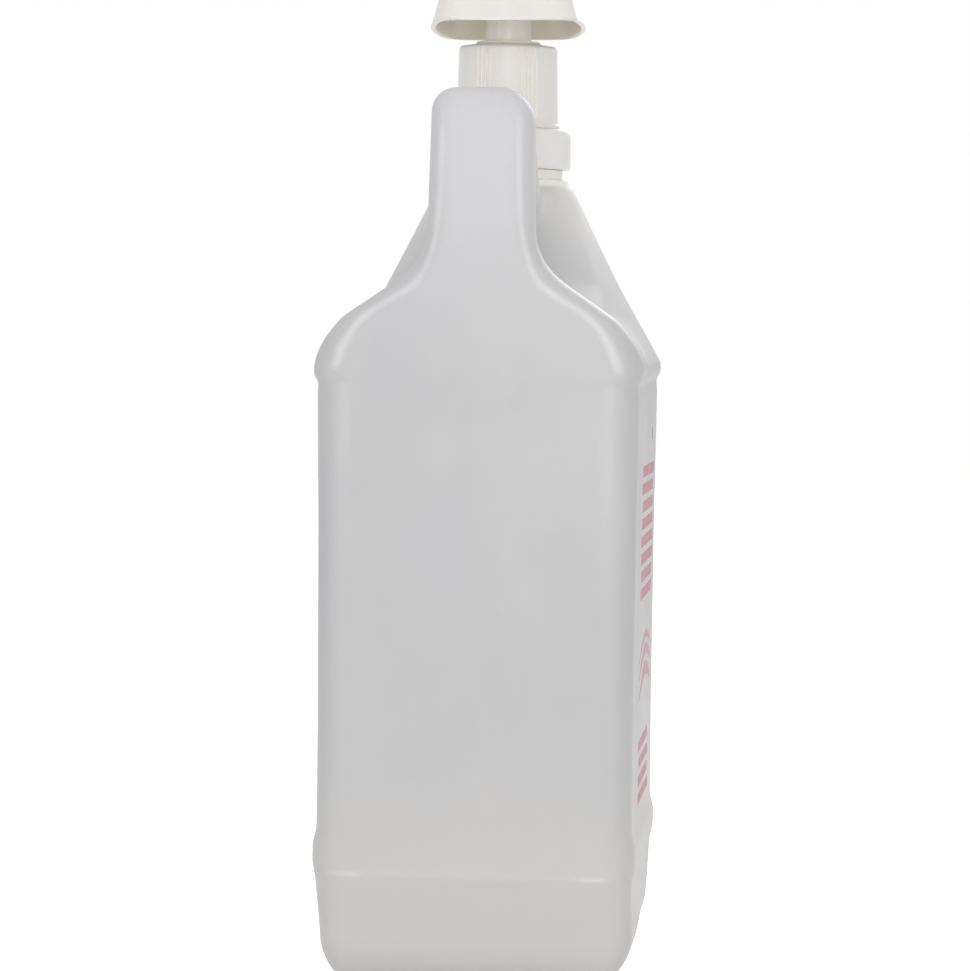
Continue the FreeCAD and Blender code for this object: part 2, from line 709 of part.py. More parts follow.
# Four groups of grip ribs, two at the handle end and two at the spout end.
GROUP_ANGLE = S.rib_pitch * (S.rib_count - 1)
for group, lane_side in enumerate((1, -1, 1, -1)):
    facing = 0.0 if group < 2 else 180.0
    rib_sketch = new_sketch(collar, "rib_section_%d" % group, "XY_Plane", COLLAR_LOW + S.rib_margin)
    draw_outline(rib_sketch, [
        (S.collar_radius - S.rib_depth, -S.rib_width / 2),
        (S.collar_radius + S.rib_depth, -S.rib_width / 4),
        (S.collar_radius + S.rib_depth, S.rib_width / 4),
        (S.collar_radius - S.rib_depth, S.rib_width / 2),
    ])
    first = facing + S.lane_half_angle
    if lane_side < 0:
        first = facing - S.lane_half_angle - GROUP_ANGLE
    rib_sketch.AttachmentOffset = FreeCAD.Placement(
        rib_sketch.AttachmentOffset.Base,
        FreeCAD.Rotation(FreeCAD.Vector(0, 0, 1), Term.of(first).value))
    rib_sketch.setExpression("AttachmentOffset.Rotation.Angle", Term.of(first).text)
    rib = collar.newObject("PartDesign::Pad", "rib_%d" % group)
    rib.Profile = rib_sketch
    rib_length = S.collar_height - S.rib_margin * 2
    rib.Length = rib_length.value
    rib.setExpression("Length", rib_length.text)
    ribs = collar.newObject("PartDesign::PolarPattern", "ribs_%d" % group)
    ribs.Originals = [rib]
    ribs.Axis = (origin_plane(collar, "Z_Axis"), [""])
    ribs.Angle = GROUP_ANGLE.value
    ribs.setExpression("Angle", GROUP_ANGLE.text)
    ribs.Occurrences = int(S.rib_count.value)
    ribs.setExpression("Occurrences", S.rib_count.text)
    collar.Tip = ribs

# The cage is a perforated disc on a rim. It keeps the lower ball in, and the spring stands on it.
cage = turned_body("ball_cage", [
    (None, CAGE_UNDER),
    (S.barrel_bore - S.cage_rim, CAGE_UNDER),
    (S.barrel_bore - S.cage_rim, BARREL_END),
    (S.barrel_bore, BARREL_END),
    (S.barrel_bore, CAGE_TOP),
    (None, CAGE_TOP),
])
port_sketch = new_sketch(cage, "port_section", "XY_Plane", CAGE_TOP)
draw_circle(port_sketch, S.cage_port, S.cage_port_circle, None)
port = cage.newObject("PartDesign::Pocket", "port")
port.Profile = port_sketch
port.Length = (S.cage_roof + 1).value
port.setExpression("Length", (S.cage_roof + 1).text)
ports = cage.newObject("PartDesign::PolarPattern", "ports")
ports.Originals = [port]
ports.Axis = (origin_plane(cage, "Z_Axis"), [""])
ports.Angle = 360.0
ports.Occurrences = int(S.cage_port_count.value)
ports.setExpression("Occurrences", S.cage_port_count.text)
cage.Tip = ports

dip_tube = turned_body("dip_tube", [
    (S.tube_bore, S.push_up + S.wall + S.tube_floor_gap),
    (S.tube_radius, S.push_up + S.wall + S.tube_floor_gap),
    (S.tube_radius, SEAT_LOW),
    (S.tube_bore, SEAT_LOW),
])

# ---------------------------------------------------------------- the pump's moving pieces

stem = turned_body("pump_stem", [
    (S.stem_bore, PISTON_LOW),
    (S.stem_radius, PISTON_LOW),
    (S.stem_radius, STEM_TOP),
    (S.stem_bore, STEM_TOP),
], turned=True)

piston = turned_body("piston", [
    (S.stem_radius + S.running_clearance, PISTON_LOW + S.piston_skirt),
    (S.barrel_bore - S.running_clearance - S.piston_skirt, PISTON_LOW + S.piston_skirt),
    (S.barrel_bore - S.running_clearance - S.piston_skirt / 2, PISTON_LOW),
    (S.barrel_bore - S.running_clearance, PISTON_LOW),
    (S.barrel_bore - S.running_clearance, PISTON_TOP),
    (S.barrel_bore - S.running_clearance - S.piston_skirt / 2, PISTON_TOP),
    (S.barrel_bore - S.running_clearance - S.piston_skirt, PISTON_TOP - S.piston_skirt),
    (S.stem_radius + S.running_clearance, PISTON_TOP - S.piston_skirt),
])

# The spring is a wire swept along a helix, between the cage and the piston. Its section has eight sides.
SPRING_LENGTH = SPRING_HIGH - SPRING_LOW
coil_path = doc.addObject("Part::Helix", "spring_path")
coil_path.Placement = FreeCAD.Placement(
    FreeCAD.Vector(S.neck_offset.value, 0, SPRING_LOW.value), FreeCAD.Rotation())
for name, size in (("Pitch", S.spring_pitch), ("Height", SPRING_LENGTH), ("Radius", S.spring_radius),
                   ("Placement.Base.x", S.neck_offset), ("Placement.Base.z", SPRING_LOW)):
    coil_path.setExpression(name, size.text)
wire_section = doc.addObject("Part::RegularPolygon", "spring_wire_section")
wire_section.Polygon = 8
wire_section.Placement = FreeCAD.Placement(
    FreeCAD.Vector((S.neck_offset + S.spring_radius).value, 0, SPRING_LOW.value),
    FreeCAD.Rotation(FreeCAD.Vector(1, 0, 0), 90))
for name, size in (("Circumradius", S.spring_wire / 2), ("Placement.Base.x", S.neck_offset + S.spring_radius),
                   ("Placement.Base.z", SPRING_LOW)):
    wire_section.setExpression(name, size.text)
doc.recompute()
spring = doc.addObject("Part::Sweep", "spring")
spring.Label = "spring"
spring.Sections = [wire_section]
spring.Spine = coil_path
spring.Solid = True
spring.Frenet = True

for label, height in (("inlet_ball", LOWER_BALL), ("outlet_ball", UPPER_BALL)):
    ball = doc.addObject("Part::Sphere", label)
    ball.Label = label
    ball.setExpression("Radius", S.ball_radius.text)
    ball.setExpression("Placement.Base.x", S.neck_offset.text)
    ball.setExpression("Placement.Base.z", height.text)

# ---------------------------------------------------------------- the head

# The head is a hollow hood over the collar, open underneath, with a boss for the stem and a spout.

def arc_between(centre, radius, start, end):
    """Return the shorter arc about a centre from one point to another."""
    toward = ((start - centre) + (end - centre)).normalize()
    return Part.Arc(start, centre + toward * radius, end).toShape()


def circle_through(start, end, bow):
    """Return the centre and radius of the arc that bows out to the right of start to end."""
    run = end - start
    radius = (run.Length ** 2 / 4 + bow ** 2) / (2 * bow)
    outward = point(run.y, -run.x, 0).normalize()
    return (start + end) * 0.5 - outward * (radius - bow), radius


def hood_loop(height, inset_sides, inset_ends, corner):
    """Return the hood's plan at one height: a straight back, bowed sides and front, round corners."""
    back = -(S.head_back.value - inset_ends)
    front = S.head_front.value - inset_ends
    half_back = S.head_back_width.value / 2 - inset_sides
    half_front = S.head_front_width.value / 2 - inset_sides
    side, side_radius = circle_through(point(back, -half_back, 0), point(front, -half_front, 0),
                                       S.head_side_bow.value)
    nose, nose_radius = circle_through(point(front, -half_front, 0), point(front, half_front, 0),
                                       S.head_front_bow.value)
    back_x = back + corner
    back_y = side.y - math.sqrt((side_radius - corner) ** 2 - (back_x - side.x) ** 2)
    back_corner = point(back_x, back_y, 0)
    # the front corner's centre stands off both the side and the nose by the corner's radius
    between = nose - side
    far = between.Length
    along = ((side_radius - corner) ** 2 - (nose_radius - corner) ** 2 + far ** 2) / (2 * far)
    aside = math.sqrt((side_radius - corner) ** 2 - along ** 2)
    unit = between * (1 / far)
    choices = [side + unit * along + point(unit.y, -unit.x, 0) * aside * way for way in (1, -1)]
    front_corner = max(choices, key=lambda spot: spot.x)
    back_tangent = point(back, back_y, 0)
    side_back = side + (back_corner - side).normalize() * side_radius
    side_front = side + (front_corner - side).normalize() * side_radius
    nose_tangent = nose + (front_corner - nose).normalize() * nose_radius

    def over(spot):
        return point(spot.x, -spot.y, 0)

    edges = [
        Part.LineSegment(over(back_tangent), back_tangent).toShape(),
        arc_between(back_corner, corner, back_tangent, side_back),
        arc_between(side, side_radius, side_back, side_front),
        arc_between(front_corner, corner, side_front, nose_tangent),
        arc_between(nose, nose_radius, nose_tangent, over(nose_tangent)),
        arc_between(over(front_corner), corner, over(nose_tangent), over(side_front)),
        arc_between(over(side), side_radius, over(side_front), over(side_back)),
        arc_between(over(back_corner), corner, over(side_back), over(back_tangent)),
    ]
    wire = Part.Wire(edges)
    wire.translate(point(0, 0, height))
    return wire


def hood_solid(inset, high, rounding):
    """Loft the hood's outside, or its hollow where an inset is given, up to a height."""
    low = RIM.value
    tall = S.head_height.value
    wires = []
    steps = [(low, 0.0)]
    for angle in (0, 30, 55, 75, 90):
        radians = math.radians(angle)
        steps.append((high - rounding + rounding * math.sin(radians),
                      rounding - rounding * math.cos(radians)))
    for height, curl in steps:
        share = (height - low) / tall
        corner = S.head_corner.value - inset + curl * S.head_corner_growth.value
        wires.append(hood_loop(height, inset + S.head_side_draft.value * share + curl,
                               inset + S.head_end_draft.value * share + curl, corner))
    return Part.makeLoft(wires, True, True)


def loft(body, name, low, high, cut=False):
    """Loft between two sketches of a body."""
    feature = body.newObject("PartDesign::SubtractiveLoft" if cut else "PartDesign::AdditiveLoft", name)
    feature.Profile = low
    feature.Sections = [high]
    feature.Ruled = True
    return feature


hood = doc.addObject("Part::Feature", "hood")
ROOF_UNDER = HEAD_TOP - S.head_roof
hollow_round = S.head_top_round.value - S.head_wall.value
hood.Shape = hood_solid(0.0, HEAD_TOP.value, S.head_top_round.value).cut(
    hood_solid(S.head_wall.value, ROOF_UNDER.value, hollow_round))
head = new_body("pump_head", turned=True)
head.BaseFeature = hood
turn(head, "hub", [
    (None, HUB_LOW),
    (S.hub_radius, HUB_LOW),
    (S.hub_radius, ROOF_UNDER + S.head_roof / 2),
    (None, ROOF_UNDER + S.head_roof / 2),
])


def straight_circle(body, name, role, height, radius, across, along, length, cut=False):
    """Pad or pocket a circle: a round bar, or a round way through what is there."""
    section = new_sketch(body, name + "_section", role, height)
    draw_circle(section, radius, across, along)
    feature = body.newObject("PartDesign::Pocket" if cut else "PartDesign::Pad", name)
    feature.Profile = section
    feature.Length = length.value
    feature.setExpression("Length", length.text)
    return feature


def quarter_bend(body, name, radius, cut=False):
    """Turn a circle a quarter of the way round, from the level spout down to its tip."""
    section = new_sketch(body, name + "_section", "YZ_Plane", BEND_START)
    draw_circle(section, radius, None, SPOUT_HEIGHT)
    axis_height = SPOUT_HEIGHT - S.spout_bend
    line = sketch_axis(section, axis_height, radius)
    feature = body.newObject("PartDesign::Groove" if cut else "PartDesign::Revolution", name)
    feature.Profile = section
    feature.ReferenceAxis = (section, [line])
    feature.Angle = 90.0
    return feature


def sketch_axis(section, height, reach):
    """Draw a level construction line and return its name as an axis."""
    start = point(-reach.value, height.value, 0)
    end = point(reach.value, height.value, 0)
    index = section.addGeometry(Part.LineSegment(start, end), True)
    hold_point(section, index, 1, -reach, height, "axis_start")
    hold_point(section, index, 2, reach, height, "axis_end")
    return "Axis0"


BEND_START = S.spout_reach - S.spout_bend
straight_circle(head, "spout", "YZ_Plane", Term.of(0), S.spout_radius, None, SPOUT_HEIGHT, BEND_START)
quarter_bend(head, "spout_elbow", S.spout_radius)
tip_high = new_sketch(head, "tip_high", "XY_Plane", SPOUT_HEIGHT - S.spout_bend)
draw_circle(tip_high, S.spout_radius, S.spout_reach, None)
tip_low = new_sketch(head, "tip_low", "XY_Plane", SPOUT_MOUTH)
draw_circle(tip_low, S.spout_tip_radius, S.spout_reach, None)
loft(head, "spout_tip", tip_high, tip_low)
turn(head, "stem_bore", [
    (None, HUB_LOW),
    (S.stem_radius, HUB_LOW),
    (S.stem_radius, STEM_TOP),
    (S.ball_chamber_radius, STEM_TOP),
    (S.ball_chamber_radius, CHAMBER_TOP),
    (S.ball_throat, CHAMBER_TOP),
    (S.ball_throat, SPOUT_HEIGHT),
    (None, SPOUT_HEIGHT),
], cut=True)
straight_circle(head, "spout_way", "YZ_Plane", BEND_START, S.spout_bore, None, SPOUT_HEIGHT,
                BEND_START, cut=True)
quarter_bend(head, "elbow_way", S.spout_bore, cut=True)
straight_circle(head, "mouth_way", "XY_Plane", SPOUT_HEIGHT - S.spout_bend, S.spout_bore, S.spout_reach,
                None, SPOUT_HEIGHT - S.spout_bend - SPOUT_MOUTH + 1, cut=True)

# ---------------------------------------------------------------- checks and files

NODES = ["bottle", "side_print", "closure_ring", "neck_gasket", "pump_barrel", "stem_guide",
         "ribbed_collar", "ball_cage", "dip_tube", "pump_stem", "piston", "spring", "inlet_ball",
         "outlet_ball", "pump_head"]

doc.recompute()
for thing in doc.Objects:
    if "Invalid" in thing.State or "Error" in thing.State:
        raise RuntimeError("%s did not build: %s" % (thing.Name, thing.State))
pieces = {}
for thing in doc.Objects:
    if thing.Label in NODES:
        if thing.Shape.isNull() or not thing.Shape.isValid() or not thing.Shape.Solids:
            raise RuntimeError("%s has no valid shape" % thing.Label)
        pieces[thing.Label] = thing.Shape
if sorted(pieces) != sorted(NODES):
    raise RuntimeError("missing pieces: %s" % (set(NODES) - set(pieces)))
os.makedirs("parts", exist_ok=True)
for label in NODES:
    pieces[label].exportStep("parts/%s.step" % label)
    print("%-14s %d solid(s) %9.1f mm3" % (label, len(pieces[label].Solids), pieces[label].Volume))
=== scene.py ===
"""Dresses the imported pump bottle: a blow-moulded jug of natural polythene with a push-down pump.

Sizes in the classes are millimetres and degrees, in the CAD model's frame: +Z up, the origin at the
middle of the base, +X from the handle end to the pump end. Meshes are made in metres.
"""
import functools
import logging
import math
from collections.abc import Callable, Mapping, Sequence
from dataclasses import dataclass, field
from enum import Enum
from typing import Any

import bmesh
import bpy
import numpy as np
from mathutils import Matrix, Vector


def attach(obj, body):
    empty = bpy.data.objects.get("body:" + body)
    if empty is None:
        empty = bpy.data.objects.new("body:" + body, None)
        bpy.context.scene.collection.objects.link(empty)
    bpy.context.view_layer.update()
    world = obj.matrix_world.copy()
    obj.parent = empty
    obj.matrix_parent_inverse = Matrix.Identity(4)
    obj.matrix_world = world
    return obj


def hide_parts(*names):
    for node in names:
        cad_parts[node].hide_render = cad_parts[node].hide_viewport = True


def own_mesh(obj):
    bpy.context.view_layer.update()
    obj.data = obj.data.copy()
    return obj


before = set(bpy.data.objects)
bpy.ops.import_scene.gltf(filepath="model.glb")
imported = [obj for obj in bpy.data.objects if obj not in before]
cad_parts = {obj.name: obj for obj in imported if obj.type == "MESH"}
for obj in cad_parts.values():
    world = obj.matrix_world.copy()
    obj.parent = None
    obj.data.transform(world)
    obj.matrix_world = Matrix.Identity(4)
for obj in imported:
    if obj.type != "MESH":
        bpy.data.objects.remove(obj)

MM = 0.001
NECK_X = 37.0
HEAD_TURN = 3.0
log = logging.getLogger("pump_bottle")

Grid = np.ndarray
Field = Callable[[Grid, Grid, Grid], Grid]
Colour = tuple[float, float, float]
Corner = tuple[float, float, float]
Span = tuple[float, float]
Socket = bpy.types.NodeSocket
Material = bpy.types.Material
Inputs = Mapping[int | str, Any] | None


class Body(Enum):
    """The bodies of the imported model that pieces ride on."""

    BOTTLE = "bottle"
    PUMP_UNIT = "pump_unit"
    CLOSURE = "closure"
    PISTON = "piston"
    HEAD = "head"
    INLET_BALL = "inlet_ball"
    OUTLET_BALL = "outlet_ball"


class Slot(Enum):
    """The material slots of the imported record."""

    POLYTHENE = "natural_polythene"
    INK = "print_ink"
    MOULDED = "white_polypropylene"
    FOAM = "seal_foam"
    BARREL = "barrel_plastic"
    TUBE = "tube_plastic"
    PISTON = "piston_plastic"
    SPRING = "spring_steel"
    BALL = "ball_steel"


# ---------------------------------------------------------------- shapes


@dataclass
class Shape:
    """Points in millimetres and the faces between them."""

    points: np.ndarray
    faces: list[list[int]]

    @staticmethod
    def of_mesh(mesh: bpy.types.Mesh) -> "Shape":
        """Read a mesh that is in millimetres, and delete it."""
        points = np.empty(len(mesh.vertices) * 3)
        mesh.vertices.foreach_get("co", points)
        faces = [list(face.vertices) for face in mesh.polygons]
        bpy.data.meshes.remove(mesh)
        return Shape(points.reshape(-1, 3), faces)

    def joined(self, *others: "Shape") -> "Shape":
        """Put shapes side by side in one.

        Args:
            others: the further shapes.

        Returns:
            One shape of them all.
        """
        points, faces, base = [self.points], list(self.faces), len(self.points)
        for other in others:
            points.append(other.points)
            faces += [[base + index for index in face] for face in other.faces]
            base += len(other.points)
        return Shape(np.concatenate(points), faces)

    def on_neck(self, turn: float = 0.0) -> "Shape":
        """Turn about the upright axis, then move onto the neck's axis.

        Args:
            turn: degrees, anticlockwise from above.

        Returns:
            The moved shape.
        """
        cosine, sine = math.cos(math.radians(turn)), math.sin(math.radians(turn))
        spin = np.array([[cosine, sine, 0], [-sine, cosine, 0], [0, 0, 1]])
        return Shape(self.points @ spin + (NECK_X, 0, 0), self.faces)

    def turned_over(self) -> "Shape":
        """Face the other way."""
        return Shape(self.points, [face[::-1] for face in self.faces])

    def worked(self, change: Callable[[bmesh.types.BMesh], None]) -> "Shape":
        """Change the shape with mesh operators.

        Args:
            change: applies the operators.

        Returns:
            The changed shape.
        """
        mesh = bpy.data.meshes.new("work")
        mesh.from_pydata(self.points.tolist(), [], self.faces)
        work = bmesh.new()
        work.from_mesh(mesh)
        change(work)
        work.to_mesh(mesh)
        work.free()
        return Shape.of_mesh(mesh)

    def closed(self, rims_at: float | None = None) -> "Shape":
        """Merge doubles, then face the closed shape outwards, or first join its two open rims.

        Args:
            rims_at: the height of two open rims on a shape that faces the right way, or None.

        Returns:
            The closed shape.
        """
        def change(work: bmesh.types.BMesh) -> None:
            """Apply the operators."""
            bmesh.ops.remove_doubles(work, verts=work.verts, dist=1e-4)
            if rims_at is None:
                bmesh.ops.recalc_face_normals(work, faces=work.faces)
                return
            rims = [edge for edge in work.edges if edge.is_boundary
                    and all(abs(vert.co.z - rims_at) < 1e-3 for vert in edge.verts)]
            bmesh.ops.bridge_loops(work, edges=rims)

        return self.worked(change)

    def cut_neck(self, height: float, reach: float) -> "Shape":
        """Cut away what stands above a height near the neck's axis, and leave the rim open.

        Args:
            height: where it is cut.
            reach: how far from the neck's axis the cut reaches.

        Returns:
            The cut shape.
        """
        def change(work: bmesh.types.BMesh) -> None:
            """Apply the operator to the faces near the neck."""
            near = [face for face in work.faces if all(
                math.hypot(vert.co.x - NECK_X, vert.co.y) < reach and vert.co.z > height - reach
                for vert in face.verts)]
            edges = {edge for face in near for edge in face.edges}
            verts = {vert for face in near for vert in face.verts}
            bmesh.ops.bisect_plane(work, geom=[*verts, *edges, *near], plane_co=(0, 0, height),
                                   plane_no=(0, 0, 1), clear_outer=True, dist=1e-5)

        return self.worked(change)


@dataclass
class Dresser:
    """Turns shapes into finished pieces on their bodies."""

    sharp: float = 38.0
    made: list[str] = field(default_factory=list)

    def piece(self, name: str, shape: Shape, finishes: Sequence[Material], slot: Slot,
              body: Body, stands_for: str, where: np.ndarray | None = None) -> bpy.types.Object:
        """Make one piece, with its object at the origin.

        Args:
            name: the piece's plain name.
            shape: its shape in millimetres.
            finishes: its materials.
            slot: the record's slot that the finishes belong to; not used.
            body: the body that it rides on.
            stands_for: the CAD node that it replaces.
            where: the number of each face's material, or None where there is one material.

        Returns:
            The piece's object.
        """
        mesh = bpy.data.meshes.new(name)
        mesh.from_pydata((shape.points * MM).tolist(), [], shape.faces)
        for finish in finishes:
            mesh.materials.append(finish)
        if where is not None:
            mesh.polygons.foreach_set("material_index", where.astype(np.int32))
        mesh.polygons.foreach_set("use_smooth", [True] * len(mesh.polygons))
        mesh.set_sharp_from_angle(angle=math.radians(self.sharp))
        mesh.validate()
        made = bpy.data.objects.new(name, mesh)
        bpy.context.scene.collection.objects.link(made)
        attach(made, body.value)
        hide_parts(stands_for)
        self.made.append(name)
        low, high = shape.points.min(0), shape.points.max(0)
        log.info("%s: %d faces, %s to %s mm, on %s", name, len(shape.faces),
                 low.round(2).tolist(), high.round(2).tolist(), body.value)
        return made


# ---------------------------------------------------------------- node trees


def operator(operation: str, swapped: bool = False) -> Callable[..., "Signal"]:
    """Write a method of Signal that adds one Math node.

    Args:
        operation: the node's operation.
        swapped: whether the signal comes after the other operand.

    Returns:
        The method.
    """
    def method(self: "Signal", *others: "Signal | float") -> "Signal":
        """Add the node."""
        operands = (*others, self) if swapped else (self, *others)
        return self.web.maths(operation, *operands)

    return method


class Signal:
    """A number on a node's output, on which Python's operators add Math nodes."""

    __add__ = __radd__ = operator("ADD")
    __sub__ = operator("SUBTRACT")
    __rsub__ = operator("SUBTRACT", swapped=True)
    __mul__ = __rmul__ = operator("MULTIPLY")
    __truediv__ = operator("DIVIDE")
    __abs__ = operator("ABSOLUTE")
    least = operator("MINIMUM")
    most = operator("MAXIMUM")

    def __init__(self, web: "Web", socket: Socket) -> None:
        """Keep the tree and the socket."""
        self.web = web
        self.socket = socket

    def ramp(self, low: float, high: float, start: float = 0.0, end: float = 1.0) -> "Signal":
        """Map low..high smoothly to start..end, clamped."""
        return self.web.signal("ShaderNodeMapRange", {0: self, 1: low, 2: high, 3: start, 4: end},
                               interpolation_type="SMOOTHSTEP")


class Web:
    """A node tree, to which nodes are added in one call each."""

    def __init__(self, tree: bpy.types.NodeTree) -> None:
        """Keep the tree, emptied."""
        self.tree = tree
        tree.nodes.clear()

    def node(self, kind: str, inputs: Inputs = None, **settings: Any) -> bpy.types.Node:
        """Add a node.

        Args:
            kind: Blender's type name of the node.
            inputs: values, signals or sockets for its inputs, by name or number.
            settings: attributes of the node, which are set first.

        Returns:
            The node.
        """
        made = self.tree.nodes.new(kind)
        for name, value in settings.items():
            setattr(made, name, value)
        for key, value in (inputs or {}).items():
            source = value.socket if isinstance(value, Signal) else value
            if isinstance(source, Socket):
                self.tree.links.new(source, made.inputs[key])
            else:
                made.inputs[key].default_value = source
        return made

    def part(self, kind: str, inputs: Inputs = None, output: int | str = 0, **settings: Any) -> Socket:
        """Add a node as in node(), and return one of its outputs."""
        return self.node(kind, inputs, **settings).outputs[output]

    def signal(self, kind: str, inputs: Inputs = None, output: int | str = 0,
               **settings: Any) -> Signal:
        """Add a node as in node(), and return one of its outputs as a signal."""
        return Signal(self, self.part(kind, inputs, output, **settings))

    def maths(self, operation: str, *values: Signal | float) -> Signal:
        """Add one Math node of an operation on some operands."""
        return self.signal("ShaderNodeMath", dict(enumerate(values)), operation=operation)


class FinishWeb(Web):
    """The node tree of a finish, patterned by the place on the piece in millimetres."""

    def __init__(self, name: str) -> None:
        """Start a material of that name."""
        self.material = bpy.data.materials.new(name)
        self.material.use_nodes = True
        super().__init__(self.material.node_tree)
        place = self.part("ShaderNodeTexCoord", output="Object")
        self.place = self.part("ShaderNodeVectorMath", {0: place, 1: (1 / MM,) * 3},
                               operation="MULTIPLY")
        split = self.node("ShaderNodeSeparateXYZ", {0: self.place})
        self.x, self.y, self.z = (Signal(self, axis) for axis in split.outputs)
        self.relief: dict[str, Socket] = {}

    def noise(self, size: float, detail: float = 2.0, stretch: Sequence[float] = (1, 1, 1),
              offset: float = 0.0) -> Signal:
        """Add noise.

        Args:
            size: width of one blotch, in millimetres.
            detail: octaves of finer noise.
            stretch: how many times longer a blotch is along each axis.
            offset: where the pattern is sampled, to tell two noises apart.

        Returns:
            Noise from about 0.25 to 0.75, 0.5 on average.
        """
        scale = tuple(1.0 / (size * times) for times in stretch)
        at = self.part("ShaderNodeVectorMath", {0: self.place, 1: scale, 2: (offset,) * 3},
                       operation="MULTIPLY_ADD")
        return self.signal("ShaderNodeTexNoise",
                           {"Vector": at, "Scale": 1.0, "Detail": detail, "Roughness": 0.55})

    def blend(self, share: Signal, first: Colour | Socket, second: Colour) -> Socket:
        """Mix two colours.

        Args:
            share: the second one's share, from 0 to 1.
            first: a colour or another mix.
            second: a colour.

        Returns:
            The mixed colour.
        """
        start = (*first, 1.0) if isinstance(first, tuple) else first
        return self.part("ShaderNodeMix", {0: share, 6: start, 7: (*second, 1.0)}, 2,
                         data_type="RGBA")

    def raise_by(self, height: Signal, millimetres: float) -> None:
        """Add relief: a height of 1 stands that many millimetres proud."""
        inputs = {"Strength": 1.0, "Distance": millimetres * MM, "Height": height, **self.relief}
        self.relief = {"Normal": self.part("ShaderNodeBump", inputs, "Normal")}

    def finish(self, colour: Socket, roughness: Signal | float, **fixed: float) -> Material:
        """Close the tree with a shader.

        Args:
            colour: the base colour.
            roughness: how dull the surface is.
            fixed: other inputs that are the same all over.

        Returns:
            The material.
        """
        inputs = {"Base Color": colour, "Roughness": roughness, **fixed, **self.relief}
        shader = self.part("ShaderNodeBsdfPrincipled", inputs)
        self.node("ShaderNodeOutputMaterial", {"Surface": shader})
        return self.material


class ShapeWeb(Web):
    """A Geometry Nodes tree with named sizes, which ends in Realize Instances and Set Material."""

    def __init__(self, name: str) -> None:
        """Start a tree of that name."""
        super().__init__(bpy.data.node_groups.new(name, "GeometryNodeTree"))
        self.tree.interface.new_socket("Shape", in_out="OUTPUT", socket_type="NodeSocketGeometry")
        self.entry = self.node("NodeGroupInput")

    def sizes(self, *names: str, kind: str = "Float") -> list[Signal]:
        """Add named inputs.

        Args:
            names: their names.
            kind: Float, or Int for whole numbers.

        Returns:
            A signal for each.
        """
        for name in names:
            self.tree.interface.new_socket(name, in_out="INPUT", socket_type="NodeSocket" + kind)
        return [Signal(self, self.entry.outputs[name]) for name in names]

    def vector(self, *parts: Signal | float) -> Socket:
        """Combine three numbers into a vector."""
        return self.part("ShaderNodeCombineXYZ", dict(enumerate(parts)))

    def sweep(self, path: Socket, section: Socket, scale: Signal | float = 1.0) -> Socket:
        """Sweep a section along a path, with closed ends."""
        return self.part("GeometryNodeCurveToMesh", {
            "Curve": path, "Profile Curve": section, "Scale": scale, "Fill Caps": True})

    def rounded_ends(self, tail: Signal, least: float) -> Signal:
        """Thin a sweep towards its ends, in a round.

        Args:
            tail: one rounded end's share of the path.
            least: the square of what is left at the very end.

        Returns:
            The section's scale.
        """
        along = self.signal("GeometryNodeSplineParameter")
        share = (along.least(1.0 - along) / tail).least(1.0).most(least)
        return self.maths("POWER", share, 0.5)

    def close(self, geometry: Socket, material: Material) -> "ShapeWeb":
        """End the tree: real geometry with the material set."""
        real = self.part("GeometryNodeRealizeInstances", {0: geometry})
        dressed = self.part("GeometryNodeSetMaterial", {"Geometry": real, "Material": material})
        self.node("NodeGroupOutput", {0: dressed})
        return self

    def grow(self, **sizes: float) -> Shape:
        """Run the tree.

        Args:
            sizes: a value for each named input.

        Returns:
            The shape that comes out.
        """
        seed = bpy.data.meshes.new("seed")
        carrier = bpy.data.objects.new("carrier", seed)
        bpy.context.scene.collection.objects.link(carrier)
        modifier = carrier.modifiers.new("grow", "NODES")
        modifier.node_group = self.tree
        for item in self.tree.interface.items_tree:
            if item.in_out == "INPUT":
                modifier[item.identifier] = sizes[item.name]
        graph = bpy.context.evaluated_depsgraph_get()
        grown = bpy.data.meshes.new_from_object(carrier.evaluated_get(graph))
        bpy.data.objects.remove(carrier)
        bpy.data.meshes.remove(seed)
        return Shape.of_mesh(grown)


# ---------------------------------------------------------------- finishes


@dataclass(frozen=True)
class Tint:
    """A colour that comes in smoothly over a height, and over a length where one is given."""

    colour: Colour
    over_z: Span
    over_x: Span | None = None

    def share(self, web: FinishWeb) -> Signal:
        """Work out how much of it shows, from 0 to 1."""
        share = web.z.ramp(*self.over_z)
        return share * web.x.ramp(*self.over_x) if self.over_x else share


